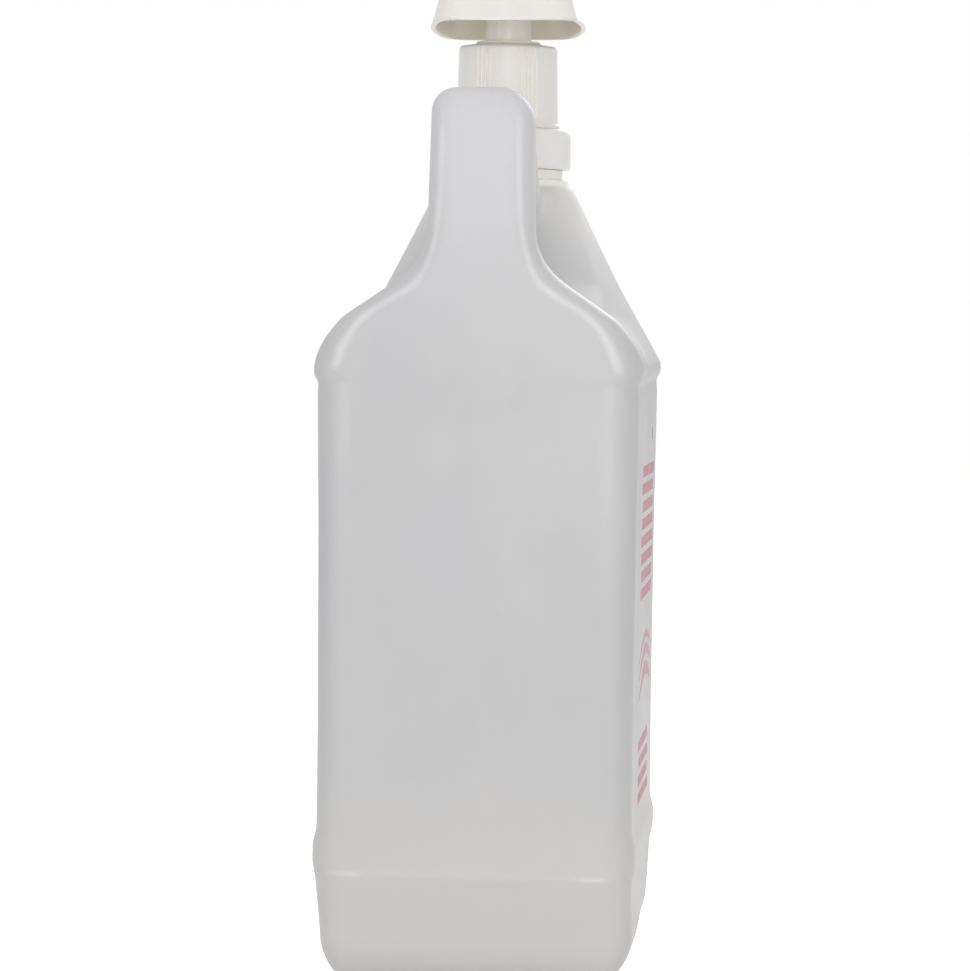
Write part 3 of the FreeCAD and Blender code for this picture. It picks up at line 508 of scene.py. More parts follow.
@dataclass(frozen=True)
class NaturalPolythene:
    """Unpigmented blown polythene: milky, with soft clouds and fine orange peel, a little lighter towards
    the foot, with painted light up the handle, on the shoulder and at the neck, and a painted highlight
    along the end face's edges.
    """

    name: str = "natural polythene"
    thick: Colour = (0.522, 0.516, 0.528)
    thin: Colour = (0.550, 0.541, 0.546)
    # Painted light: lighter up the handle column, standing in for light shining through its narrow walls
    # and from above.
    column: Tint = Tint((0.624, 0.622, 0.638), (190, 300))
    # Painted light: a warm lighter shoulder beside the neck, lifting the shade next to the handle.
    shoulder: Tint = Tint((0.700, 0.688, 0.655), (231, 271), (-24, 14))
    # Painted light: the ring under the closure much lighter, in place of the shade that falls there.
    neck: Tint = Tint((0.930, 0.915, 0.880), (267, 269), (-5, 15))
    foot: Tint = Tint((0.586, 0.578, 0.566), (95, 34))
    cloud: float = 46.0
    streak: float = 5.0
    scuff: float = 3.0
    patch: float = 24.0
    peel: float = 1.6
    peel_depth: float = 0.012
    wave: float = 14.0
    wave_depth: float = 0.05
    # Painted highlight: heights, and distances from the middle, of a lighter line along the rounded edge
    # of the end face.
    highlight_line: tuple[Span, ...] = (
        (40, 43.4), (200, 43.2), (203.4, 46.4), (210.6, 44.2), (217, 40.6), (220.5, 37.6),
        (223.3, 34.4), (225.4, 31.0), (227.2, 27.8), (229.4, 24.0), (232.5, 20.2), (235.8, 18.1),
        (238.5, 16.6), (243.4, 15.2), (247.3, 14.3), (255, 13.3), (265, 12.7), (290, 12.4))
    highlight_reach: float = 60.0
    highlight_lift: float = 0.20
    ledge: float = 40.0

    def material(self) -> Material:
        """Build the material."""
        web = FinishWeb(self.name)
        clouds = web.noise(self.cloud, 3.0, (1, 1, 1.6))
        streaks = web.noise(self.streak, 2.0, (1, 1, 26), 7.0)
        scuffs = web.noise(self.scuff, 4.0, (1, 1, 3), 3.0).ramp(0.60, 0.74)
        patches = web.noise(self.patch, offset=11.0).ramp(0.4, 0.7)
        web.raise_by(web.noise(self.peel, 1.0), self.peel_depth)
        web.raise_by(web.noise(self.wave, 1.0, (1, 1, 2.5), 5.0), self.wave_depth)
        body = web.blend((clouds * 0.93 + streaks * 0.07).ramp(0.36, 0.64), self.thick, self.thin)
        for tint in (self.column, self.shoulder, self.neck, self.foot):
            body = web.blend(tint.share(web), body, tint.colour)
        # The painted highlight's colour, laid where edge() finds it.
        pale = tuple(part + self.highlight_lift for part in self.thin)
        colour = web.blend(self.edge(web), body, pale)
        return web.finish(colour, 0.47 + 0.05 * patches + 0.10 * scuffs, IOR=1.51)

    def edge(self, web: FinishWeb) -> Signal:
        """Find where the painted highlight lies: a line along the rounded edge of the handle's end face,
        and short marks on the belt's ledge.

        Args:
            web: the finish's tree.

        Returns:
            A mask from 0 to 1.
        """
        low, high = self.highlight_line[0][0], self.highlight_line[-1][0]
        curve = web.node("ShaderNodeFloatCurve", {"Value": (web.z - low) / (high - low)})
        points = curve.mapping.curves[0].points
        for _ in self.highlight_line[2:]:
            points.new(0.5, 0.5)
        for point, (height, out) in zip(points, self.highlight_line):
            point.location = (height - low) / (high - low), out / self.highlight_reach
            point.handle_type = "VECTOR"
        curve.mapping.update()
        line = Signal(web, curve.outputs[0]) * self.highlight_reach
        slanting = web.z.ramp(217, 223) * web.z.ramp(236, 230)
        wide = 0.75 + 0.75 * slanting + 0.5 * web.z.ramp(224, 212) + 0.5 * web.z.ramp(201, 199)
        soft = (abs(abs(web.y) - line) / wide).ramp(2.3, 0.0)
        below = web.z.ramp(90, 196, 0.0, 0.18) * web.z.ramp(200.5, 198.5)
        above = web.z.ramp(202.5, 206.0, 0.0, 0.64) * web.z.ramp(292, 276)
        ledge = abs(web.z - self.ledge).ramp(1.3, 0.1)
        ledge = ledge * abs(web.y).ramp(33, 39) * abs(web.y).ramp(47, 43)
        uneven = web.noise(16.0, 1.0, offset=21.0).ramp(0.3, 0.6, 0.65, 1.0)
        end_face = web.x.ramp(-85.0, -87.0)
        return (soft * (below + above) + 0.5 * ledge) * uneven * end_face


@dataclass(frozen=True)
class MouldedWhite:
    """White injection-moulded plastic with faint flow clouds and a fine spark-eroded grain."""

    name: str
    dark: Colour
    light: Colour
    roughness: float = 0.38
    grain: float = 0.45
    grain_depth: float = 0.006
    wave: float = 9.0
    wave_depth: float = 0.02

    def material(self) -> Material:
        """Build the material."""
        web = FinishWeb(self.name)
        share = web.noise(18.0, 3.0, (1, 1, 2)).ramp(0.35, 0.65)
        wear = web.noise(5.0, 3.0, offset=9.0).ramp(0.45, 0.75)
        web.raise_by(web.noise(self.grain, 1.0), self.grain_depth)
        web.raise_by(web.noise(self.wave, 1.0, offset=4.0), self.wave_depth)
        colour = web.blend(share, self.dark, self.light)
        return web.finish(colour, self.roughness + 0.09 * wear, IOR=1.49)


HEAD_WHITE = MouldedWhite("moulded white", (0.840, 0.812, 0.780), (0.860, 0.835, 0.803))
# Lighter than the head's white: partly the closure and collar being their own mouldings, partly painted
# light making up for the shade they sit in under the hood.
RING_WHITE = MouldedWhite("ring white", (0.862, 0.842, 0.822), (0.884, 0.866, 0.846))
# Painted light: a lighter copy of the white, lifting the hood's shade on the collar top and boss, and
# brightening the rib crests.
PAINTED_LIGHT_WHITE = MouldedWhite("moulded white, painted light", (0.965, 0.930, 0.882), (0.980, 0.950, 0.908), 0.30)
# Painted shade: a darker, warmer copy of the white for the inside of the hood, where shade and light
# bounced through the plastic fall.
HOOD_PAINTED_SHADE = MouldedWhite("hood inside", (0.705, 0.660, 0.545), (0.735, 0.695, 0.585))


@dataclass(frozen=True)
class ScreenInk:
    """Screen-printed ink: a little uneven in cover, with a dull, slightly raised face."""

    name: str = "screen ink"
    full: Colour = (0.500, 0.185, 0.235)
    worn: Colour = (0.575, 0.315, 0.355)
    fleck: float = 1.2
    grain: float = 0.5

    def material(self) -> Material:
        """Build the material."""
        web = FinishWeb(self.name)
        cover = web.noise(self.fleck, 3.0).ramp(0.45, 0.75)
        web.raise_by(web.noise(self.grain, 1.0, offset=2.0), 0.01)
        return web.finish(web.blend(cover, self.full, self.worn), 0.46 + 0.1 * cover)


@dataclass(frozen=True)
class PlainPlastic:
    """A plain moulded or drawn plastic, with faint clouds and lines along its height."""

    name: str
    dark: Colour
    light: Colour
    roughness: float = 0.35
    cloud: float = 8.0
    line: float = 0.8

    def material(self) -> Material:
        """Build the material."""
        web = FinishWeb(self.name)
        clouds = web.noise(self.cloud).ramp(0.35, 0.65)
        lines = web.noise(self.line, 2.0, (1, 1, 30), 5.0)
        web.raise_by(lines, 0.012)
        colour = web.blend(clouds, self.dark, self.light)
        return web.finish(colour, self.roughness + 0.10 * lines, IOR=1.5)


@dataclass(frozen=True)
class SealFoam:
    """Closed-cell foam of a liner: matt, with fine pores."""

    name: str = "seal foam"
    pore: float = 0.35
    deep: Colour = (0.50, 0.50, 0.48)
    high: Colour = (0.74, 0.74, 0.71)

    def material(self) -> Material:
        """Build the material."""
        web = FinishWeb(self.name)
        pores = web.signal("ShaderNodeTexVoronoi", {"Vector": web.place, "Scale": 1.0 / self.pore})
        web.raise_by(pores, 0.05)
        return web.finish(web.blend(pores.ramp(0.1, 0.6), self.deep, self.high), 0.82)


@dataclass(frozen=True)
class BrightSteel:
    """Bare stainless steel, drawn along its height or polished."""

    name: str
    roughness: float
    scratch: float
    stretch: tuple[float, float, float] = (1, 1, 1)
    dark: Colour = (0.52, 0.51, 0.50)
    light: Colour = (0.66, 0.655, 0.64)

    def material(self) -> Material:
        """Build the material."""
        web = FinishWeb(self.name)
        marks = web.noise(self.scratch, 3.0, self.stretch)
        web.raise_by(marks, 0.004)
        colour = web.blend(marks.ramp(0.3, 0.7), self.dark, self.light)
        return web.finish(colour, self.roughness + 0.12 * marks, Metallic=1.0)


# ---------------------------------------------------------------- distance fields


def meet(first: Grid, second: Grid, radius: Grid | float) -> Grid:
    """Keep what is inside both fields, with the edge between them rounded.

    Args:
        first: distance to the first.
        second: distance to the second.
        radius: radius of the rounding.

    Returns:
        The distance to what they share.
    """
    across, along = first + radius, second + radius
    inside = np.minimum(np.maximum(across, along), 0)
    return inside + np.hypot(np.maximum(across, 0), np.maximum(along, 0)) - radius


def merge(first: Grid, second: Grid, reach: Grid | float) -> Grid:
    """Join two fields, with the corner between them filled smoothly within a reach."""
    share = np.maximum(reach - np.abs(first - second), 0) / reach
    return np.minimum(first, second) - share * share * reach / 4


def within(*fields: Grid) -> Grid:
    """Keep what is inside all the fields, with sharp edges."""
    return functools.reduce(np.maximum, fields)


def either(*fields: Grid) -> Grid:
    """Join the fields, with sharp corners."""
    return functools.reduce(np.minimum, fields)


def smooth_step(low: float, high: float, value: Grid) -> Grid:
    """Rise smoothly from 0 at low to 1 at high."""
    share = np.clip((value - low) / (high - low), 0, 1)
    return share * share * (3 - 2 * share)


def along_table(table: Sequence[Span], places: Grid) -> Grid:
    """Read a table of places and values between its rows."""
    return np.interp(places, *zip(*table))


def bands(*marks: float) -> np.ndarray:
    """Divide a line into steps.

    Args:
        marks: a start, then a step and an end for each band in turn.

    Returns:
        The rising positions.
    """
    spots = [marks[0]]
    for step, end in zip(marks[1::2], marks[2::2]):
        count = max(1, round((end - spots[-1]) / step))
        spots += list(np.linspace(spots[-1], end, count + 1)[1:])
    return np.array(spots)


def cells_round(spots: np.ndarray, axis: int) -> list[np.ndarray]:
    """Find the four cells that share each grid edge, in turn about it.

    Args:
        spots: where the edges start.
        axis: the axis that they run along.

    Returns:
        Four arrays of the cells' places.
    """
    ring = []
    for back in ((1, 1), (0, 1), (0, 0), (1, 0)):
        cell = spots.copy()
        cell[:, [(axis + 1) % 3, (axis + 2) % 3]] -= back
        ring.append(cell)
    return ring


def surface_net(values: Grid, axes: Sequence[np.ndarray]) -> Shape:
    """Wrap the zero level of a sampled field in quads.

    Each cell that the level crosses gets one point, at the middle of its edges' crossings.

    Args:
        values: the field on the grid, below zero inside.
        axes: the grid's positions along X, Y and Z.

    Returns:
        The surface, facing outwards.
    """
    cells = tuple(n - 1 for n in values.shape)
    total, count = np.zeros((*cells, 3)), np.zeros(cells)
    crossings = []
    for axis in range(3):
        first, second = values, np.roll(values, -1, axis)
        crossed = (first < 0) != (second < 0)
        spots = np.argwhere(crossed)
        spots = spots[spots[:, axis] < cells[axis]]
        first, second = first[tuple(spots.T)], second[tuple(spots.T)]
        at = np.stack([axes[a][spots[:, a]] for a in range(3)], 1)
        run = axes[axis][spots[:, axis] + 1] - axes[axis][spots[:, axis]]
        at[:, axis] += run * first / (first - second)
        ring = cells_round(spots, axis)
        whole = np.all([np.all((cell >= 0) & (cell < cells), 1) for cell in ring], 0)
        ring = [tuple(cell[whole].T) for cell in ring]
        for cell in ring:
            np.add.at(total, cell, at[whole])
            np.add.at(count, cell, 1)
        crossings.append((ring, first[whole] < 0))
    used = count > 0
    number = np.full(cells, -1)
    number[used] = np.arange(used.sum())
    faces = []
    for ring, outward in crossings:
        quads = np.stack([number[cell] for cell in ring], 1)
        quads[~outward] = quads[~outward][:, ::-1]
        faces += quads.tolist()
    return Shape(total[used] / count[used][:, None], faces)


def settle(shape: Shape, body: Field, steps: int = 3, reach: float = 0.02) -> Shape:
    """Move a net's points onto the exact surface of a field.

    Args:
        shape: the net.
        body: the field.
        steps: rounds of correction.
        reach: half of the distance over which the slope is measured.

    Returns:
        The corrected net.
    """
    flattest, longest = 0.05, 0.8
    points = shape.points.copy()
    for _ in range(steps):
        slope = np.stack([body(*(points + ahead).T) - body(*(points - ahead).T)
                          for ahead in reach * np.eye(3)], 1) / (2 * reach)
        size = np.maximum((slope ** 2).sum(1), flattest)
        move = slope * (body(*points.T) / size)[:, None]
        length = np.maximum(np.linalg.norm(move, axis=1), 1e-9)
        points -= move * np.minimum(1, longest / length)[:, None]
    return Shape(points, shape.faces)


def sample(body: Field, axes: Sequence[np.ndarray]) -> Grid:
    """Evaluate a field on a grid."""
    return body(axes[0][:, None, None], axes[1][None, :, None], axes[2][None, None, :])


def wrap(body: Field, axes: Sequence[np.ndarray]) -> Shape:
    """Wrap a field in quads that lie on its exact surface."""
    return settle(surface_net(sample(body, axes), axes), body)


# ---------------------------------------------------------------- turned shapes

ROUND_STEPS = 5
FLAT_GUARD = 0.3


def rounded_outline(corners: Sequence[Corner]) -> np.ndarray:
    """Round the corners of a closed outline, with a point close to each that keeps its sides flat.

    Args:
        corners: radius, height and rounding of each corner.

    Returns:
        The points of the outline.
    """
    spots: list[np.ndarray] = []
    for index, (radius, height, rounding) in enumerate(corners):
        here = np.array((radius, height))
        if rounding <= 0:
            spots.append(here)
            continue
        before = np.array(corners[index - 1][:2]) - here
        after = np.array(corners[(index + 1) % len(corners)][:2]) - here
        back, ahead = np.linalg.norm(before), np.linalg.norm(after)
        before, after = before / back, after / ahead
        half = math.acos(np.clip(before @ after, -1, 1)) / 2
        reach = min(rounding / math.tan(half), 0.48 * back, 0.48 * ahead)
        rounding = reach * math.tan(half)
        inward = (before + after) / np.linalg.norm(before + after)
        centre = here + inward * rounding / math.sin(half)
        start, end = here + before * reach - centre, here + after * reach - centre
        first = math.atan2(start[1], start[0])
        sweep = (math.atan2(end[1], end[0]) - first + math.pi) % (2 * math.pi) - math.pi
        guarded = reach + FLAT_GUARD
        if back * 0.5 > guarded:
            spots.append(here + before * guarded)
        for angle in np.linspace(first, first + sweep, ROUND_STEPS + 1):
            spots.append(centre + rounding * np.array((math.cos(angle), math.sin(angle))))
        if ahead * 0.5 > guarded:
            spots.append(here + after * guarded)
    return np.array(spots)


def turned(corners: Sequence[Corner], sides: int = 128) -> Shape:
    """Turn a closed outline about the upright axis.

    Args:
        corners: radius, height and rounding of each corner, in turn round the outline.
        sides: facets round the axis.

    Returns:
        A closed shape that faces outwards.
    """
    radii, heights = rounded_outline(corners).T
    count = len(radii)
    angles = np.linspace(0, 2 * math.pi, sides, endpoint=False)
    points = np.stack([np.outer(np.cos(angles), radii), np.outer(np.sin(angles), radii),
                       np.tile(heights, (sides, 1))], 2).reshape(-1, 3)
    number = np.arange(sides * count).reshape(sides, count)
    beside, above = np.roll(number, -1, 0), np.roll(number, -1, 1)
    faces = np.stack([number, beside, np.roll(beside, -1, 1), above], 2).reshape(-1, 4)
    return Shape(points, faces.tolist()).closed()


# ---------------------------------------------------------------- shapes grown by Geometry Nodes


def coil_web(name: str, material: Material) -> ShapeWeb:
    """Make the tree of a wire or thread that climbs round the upright axis and thins at its ends.

    Args:
        name: the tree's name.
        material: what it is made of.

    Returns:
        The finished tree.
    """
    web = ShapeWeb(name)
    radius, base, height, turns, wire, tail = web.sizes("radius", "base", "height", "turns", "wire",
                                                        "tail")
    per_turn, sides = web.sizes("per_turn", "sides", kind="Int")
    path = web.part("GeometryNodeCurveSpiral", {
        "Resolution": per_turn, "Rotations": turns, "Start Radius": radius,
        "End Radius": radius, "Height": height})
    lifted = web.part("GeometryNodeSetPosition", {
        "Geometry": path, "Offset": web.vector(0.0, 0.0, base)})
    section = web.part("GeometryNodeCurvePrimitiveCircle", {"Resolution": sides, "Radius": wire})
    return web.close(web.sweep(lifted, section, web.rounded_ends(tail, 0.02)), material)


def rib_web(material: Material) -> ShapeWeb:
    """Make the tree of a group of upright ribs with rounded ends, spaced round a wall.

    Args:
        material: what they are made of.

    Returns:
        The finished tree.
    """
    web = ShapeWeb("grip ribs")
    count, = web.sizes("count", kind="Int")
    first, step, radius, low, high = web.sizes("first", "step", "radius", "low", "high")
    lean, half_width, proud = web.sizes("lean", "half_width", "proud")
    angle = first + step * web.signal("GeometryNodeInputIndex")
    spot = web.vector(web.maths("COSINE", angle) * radius, web.maths("SINE", angle) * radius, low)
    spots = web.part("GeometryNodePoints", {"Count": count, "Position": spot})
    line = web.part("GeometryNodeCurvePrimitiveLine", {"End": web.vector(lean, 0.0, high - low)})
    fine = web.part("GeometryNodeResampleCurve", {"Curve": line, "Count": 26})
    section = web.part("GeometryNodeCurvePrimitiveCircle", {"Resolution": 12, "Radius": 1.0})
    ends = web.rounded_ends(half_width / (high - low), 0.03)
    facing = web.part("FunctionNodeAxisAngleToRotation", {"Axis": (0.0, 0.0, 1.0), "Angle": angle})
    ribs = web.part("GeometryNodeInstanceOnPoints", {
        "Points": spots, "Instance": web.sweep(fine, section, ends * half_width),
        "Rotation": facing, "Scale": web.vector(proud, 1.0, 1.0)})
    return web.close(ribs, material)


def dash_web(material: Material) -> ShapeWeb:
    """Make the tree of rows of short printed bars of seeded lengths, flat on a side panel.

    Args:
        material: what they are printed in.

    Returns:
        The finished tree.
    """
    web = ShapeWeb("printed dashes")
    count, seed = web.sizes("count", "seed", kind="Int")
    left, top, face, row, pitch, rows = web.sizes("left", "top", "face", "row_length", "row_pitch",
                                                  "rows")
    short, long, gap, height, thickness = web.sizes("short", "long", "gap", "height", "thickness")
    width = web.signal("FunctionNodeRandomValue", {2: short, 3: long, 8: seed}, 1,
                       data_type="FLOAT")
    reach = web.signal("GeometryNodeAccumulateField", {0: width + gap}, 1, data_type="FLOAT")
    line = web.maths("FLOOR", reach / row)
    start = reach - line * row
    spot = web.vector(left + start + width * 0.5, face, top - line * pitch)
    cloud = web.part("GeometryNodePoints", {"Count": count})
    placed = web.part("GeometryNodeSetPosition", {"Geometry": cloud, "Position": spot})
    over = web.maths("GREATER_THAN", start + width, row)
    under = web.maths("GREATER_THAN", line, rows - 0.5)
    noted = web.part("GeometryNodeStoreNamedAttribute", {
        "Geometry": placed, "Name": "bar width", "Value": width}, data_type="FLOAT", domain="POINT")
    kept = web.part("GeometryNodeDeleteGeometry", {"Geometry": noted, "Selection": over.most(under)},
                    domain="POINT")
    kept_width = web.signal("GeometryNodeInputNamedAttribute", {"Name": "bar width"},
                            data_type="FLOAT")
    outline = web.part("GeometryNodeCurvePrimitiveQuadrilateral", {"Width": 1.0, "Height": 1.0})
    soft = web.part("GeometryNodeFilletCurve", {"Curve": outline, "Count": 3, "Radius": 0.16},
                    mode="POLY")
    depth = web.part("GeometryNodeCurvePrimitiveLine", {
        "End": web.vector(0.0, thickness * -1.0, 0.0)})
    bars = web.part("GeometryNodeInstanceOnPoints", {
        "Points": kept, "Instance": web.sweep(depth, soft),
        "Scale": web.vector(kept_width, 1.0, height)})
    return web.close(bars, material)


# ---------------------------------------------------------------- the jug


@dataclass
class Jug:
    """The blown jug: body, sloping shoulder, hollow handle and neck, one closed shell."""

    half_length: float = 88.5
    half_width: float = 54.0
    corner: float = 13.0
    least_corner: float = 3.0
    wall: float = 0.9
    heel: float = 20.0
    side_insets: tuple[Span, ...] = (
        (-5, 2.9), (20, 2.9), (38, 1.1), (43, 0.0), (49, 0.0), (54, 1.3), (90, 1.6), (150, 1.7),
        (199, 1.4), (201.6, 1.7), (204.4, 0.0), (207.5, 0.0))
    end_insets: tuple[Span, ...] = (
        (-5, 2.9), (20, 2.9), (36, 0.6), (39.6, 0.0), (40.6, 0.22), (120, 0.14), (199.2, 0.14),
        (200.4, 0.0), (207.5, 0.0))
    crease: float = 0.45
    crease_round: float = 2.2
    belt_fall: float = 2.2
    belt_run: Span = (60.0, -60.0)
    belt_low: Span = (190.0, 198.0)
    belt_high: Span = (226.0, 208.0)
    shoulder: Span = (207.5, 268.0)
    shoulder_hollow: float = 0.35
    shoulder_taper: float = 0.145
    foot: float = 23.0
    lean: float = 2.0
    lean_top: float = 200.0
    lean_run: float = 140.0
    side_blend: Span = (20.0, 48.0)
    fuller: tuple[Span, ...] = (
        (6, 0.4), (10, 1.1), (13, 1.6), (17, 2.1), (21, 2.0), (26, 1.5), (32, 0.6), (38, 0.0),
        (197, 0.0), (202, -0.5), (207, -0.5), (214, 0.0))
    push_up: float = 2.0
    land_width: float = 9.0
    pinch_half: float = 4.0
    column_depth: float = 28.0
    column_half: float = 17.4
    column_round: float = 10.0
    column_crease: float = 1.0
    column_top: float = 296.1
    column_edge: Span = (7.6, 11.5)
    column_taper: float = 0.9
    flare_low: float = 205.0
    flare_radius: float = 22.0
    flare_slope: float = 34.5
    flare_edge: Span = (221.3, 9.6)
    flare_back: float = 30.0
    bar_half: Span = (14.0, 13.0)
    bar_round: float = 10.0
    bar_level: float = 282.0
    bar_turn: float = -38.0
    bar_radius: float = 40.0
    bar_end: Span = (13.0, 256.0)
    neck: float = 17.45
    bore: float = 14.5
    bead: float = 21.8
    bead_rise: float = 2.6
    ring: float = 19.6
    ring_bore: float = 16.8
    ring_top: float = 273.82
    ring_height: float = 6.0
    land: float = 284.0
    over: float = 290.0

    def __post_init__(self) -> None:
        """Work out the tables of the body's and the column's outlines over the height."""
        low, high = self.shoulder
        heights = np.arange(-6, high + 6, 0.2)
        growth = np.clip(heights - low, 0, None)
        share = growth / (high - low)
        side = along_table(self.side_insets, heights)
        inset = self.shoulder_hollow * np.sin(np.pi * np.clip(share, 0, 1))
        half_x = (self.half_length - along_table(self.end_insets, heights)
                  - (self.half_length - self.foot) * share - inset)
        half_y = self.half_width - side - (self.half_width - self.foot) * share - inset
        corner = np.minimum(self.corner - side + growth, 0.97 * half_y)
        softness, reach = 0.75, 12
        kernel = np.exp(-np.linspace(-2.4, 2.4, 2 * reach + 1) ** 2 / (2 * softness ** 2))
        soft = (self.smoothed(row, kernel) for row in (half_x, half_y, corner))
        self.body_table = heights, NECK_X * share, *soft
        self.column_table = self.flare()

    @staticmethod
    def smoothed(row: np.ndarray, kernel: np.ndarray) -> np.ndarray:
        """Smooth a row of values with a kernel, keeping its ends."""
        return np.convolve(np.pad(row, len(kernel) // 2, mode="edge"), kernel / kernel.sum(), "valid")

    def flare(self) -> tuple[np.ndarray, np.ndarray, np.ndarray]:
        """Work out the column's outline: a rounded foot, a slope, a hollow arc and a slight taper.

        Returns:
            Heights, with the half width and the depth at each.
        """
        low, slope = self.flare_low, math.radians(self.flare_slope)
        edge_z, edge_y = self.flare_edge[0], self.half_width - self.flare_edge[1]
        shares = np.linspace(0, 1, 9)
        tangent_y = self.column_half + self.flare_radius * (1 - math.sin(slope))
        tangent_z = edge_z + (edge_y - tangent_y) * math.tan(slope)
        centre_z = tangent_z + self.flare_radius * math.cos(slope)
        angles = np.linspace(math.pi / 2 - slope, 0, 14)
        heights = [*(low + (edge_z - low) * shares), *(centre_z - self.flare_radius * np.sin(angles)),
                   self.column_top]
        halves = [*(edge_y + (self.half_width - edge_y) * (1 - shares ** 1.6)),
                  *(self.column_half + self.flare_radius * (1 - np.cos(angles))),
                  self.column_half - self.column_taper]
        fine = np.arange(low - 6, self.column_top + 6, 0.25)
        share = np.clip(centre_z - fine, 0, None) / (centre_z - low)
        depths = self.column_depth + self.flare_back * share ** 2
        return fine, self.smoothed(np.interp(fine, heights, halves), np.ones(9)), depths

    def leant(self, x: Grid, y: Grid, z: Grid) -> Grid:
        """Shift the places across the jug, for a side that leans and one that is fuller.

        Args:
            x, y, z: places in millimetres.

        Returns:
            The shifted places across.
        """
        lean = self.lean * np.clip((self.lean_top - z) / self.lean_run, 0, 1)
        fuller = along_table(self.fuller, z) * (0.4 + 0.6 * smooth_step(60, -40, x))
        shifted = y + lean * smooth_step(*self.side_blend, y)
        return shifted + fuller * smooth_step(*self.side_blend, -y)

    def body(self, x: Grid, y: Grid, z: Grid) -> Grid:
        """Distance field of the body and shoulder.

        Args:
            x, y, z: places in millimetres.

        Returns:
            The distance, below zero inside.
        """
        low, high = self.shoulder
        heights, centres, half_x, half_y, corners = self.body_table
        fallen = z + (self.belt_fall * smooth_step(*self.belt_run, x)
                      * smooth_step(*self.belt_low, z) * smooth_step(*self.belt_high, z))
        behind = np.maximum(NECK_X - x, 0)
        taper = self.shoulder_taper * behind ** 2 / (behind + 20) * smooth_step(low, low + 17, z)
        crease = self.crease * smooth_step(low + 4, low - 4, z)
        over_x = np.abs(x - np.interp(z, heights, centres)) - np.interp(z, heights, half_x)
        over_y = np.abs(self.leant(x, y, z)) - np.interp(fallen, heights, half_y) + taper
        corner = np.maximum(np.interp(z, heights, corners), self.least_corner)
        side = meet(over_x - crease, over_y, corner)
        side = meet(side, over_x, self.crease_round)
        rest = self.heel + self.land_width
        hollow = within(np.abs(x) - self.half_length + rest, self.pinch_half - np.abs(y),
                        np.abs(y) - self.half_width + rest)
        floor = self.push_up * smooth_step(0.0, 5.0, -hollow)
        return meet(meet(side, floor - z, self.heel), z - high, 1.5)

    def column(self, x: Grid, y: Grid, z: Grid) -> Grid:
        """Distance field of the upright column and its flare.

        Args:
            x, y, z: places in millimetres.

        Returns:
            The distance, below zero inside.
        """
        heights, halves, depths = self.column_table
        grown = smooth_step(self.flare_low, self.flare_low + 12, z)
        crease = self.crease + (self.column_crease - self.crease) * grown
        corner = self.corner + (self.column_round - self.corner) * grown
        deep = (np.interp(z, heights, depths) + crease) / 2
        middle = deep - self.half_length - crease
        side = meet(np.abs(x - middle) - deep, np.abs(y) - np.interp(z, heights, halves), corner)
        side = meet(side, -self.half_length - x, self.crease_round)
        left, right = self.column_edge
        top = meet(side, z - self.column_top, left + (right - left) * smooth_step(4, -12, y))
        return within(top, self.flare_low - 0.5 - z)

    def bar(self, x: Grid, y: Grid, z: Grid) -> Grid:
        """Distance field of the handle's top bar, level and then bent down to the neck's foot.

        Args:
            x, y, z: places in millimetres.

        Returns:
            The distance, below zero inside.
        """
        def tube(off: Grid) -> Grid:
            """Distance to the bar's sides, from the distance to its middle line seen from the side."""
            return meet(np.abs(y) - self.bar_half[0], np.abs(off) - self.bar_half[1], self.bar_round)

        start = self.column_depth / 2 - self.half_length
        run, fall = self.bar_end[0] - self.bar_turn, self.bar_end[1] - self.bar_level
        length = math.hypot(run, fall)
        ahead, down = run / length, fall / length
        angle = math.acos(ahead)
        reach = self.bar_radius * math.tan(angle / 2)
        hub_x, hub_z = self.bar_turn - reach, self.bar_level - self.bar_radius
        off_x, off_z = x - self.bar_turn, z - self.bar_level
        level = within(tube(off_z), start - x, x - hub_x)
        swing = np.arctan2(x - hub_x, z - hub_z)
        bend = within(tube(np.hypot(x - hub_x, z - hub_z) - self.bar_radius),
                      np.maximum(-swing, swing - angle) * self.bar_radius)
        along = off_x * ahead + off_z * down
        slope = within(tube(off_z * ahead - off_x * down), reach - along, along - length)
        return either(level, bend, slope)

    def without_neck(self, x: Grid, y: Grid, z: Grid) -> Grid:
        """Distance field of the body, the shoulder and the handle together."""
        handle = merge(self.column(x, y, z), self.bar(x, y, z), 4.0)
        return merge(self.body(x, y, z), handle, 0.2 + 5.0 * smooth_step(210, 222, z))

    def outside(self, x: Grid, y: Grid, z: Grid) -> Grid:
        """Distance field of the jug's outside, with the neck drawn on past its top edge.

        Args:
            x, y, z: places in millimetres.

        Returns:
            The distance, below zero inside.
        """
        radius = np.hypot(x - NECK_X, y)
        high = self.shoulder[1]
        bead = meet(radius - self.bead, z - high - self.bead_rise, self.bead_rise / 2)
        neck = meet(radius - self.neck, z - self.over, 0.5)
        return merge(self.without_neck(x, y, z), within(either(bead, neck), high - 9 - z), 1.2)

    def inside(self, axes: Sequence[np.ndarray]) -> Shape:
        """Wrap the inside, with the neck's bore drawn on past its top edge.

        Args:
            axes: the grid's positions along X, Y and Z.

        Returns:
            The inside's surface, facing into the hollow.
        """
        values = sample(self.without_neck, axes)
        steep = np.sqrt(sum(part ** 2 for part in np.gradient(values, *axes)))
        values = values / np.clip(steep, 0.5, 3.0) + self.wall
        radius = np.hypot(axes[0][:, None, None] - NECK_X, axes[1][None, :, None])
        way = within(radius - self.bore, self.shoulder[1] - 12 - axes[2], axes[2] - self.over)
        return surface_net(merge(values, way, 1.0), axes).turned_over()

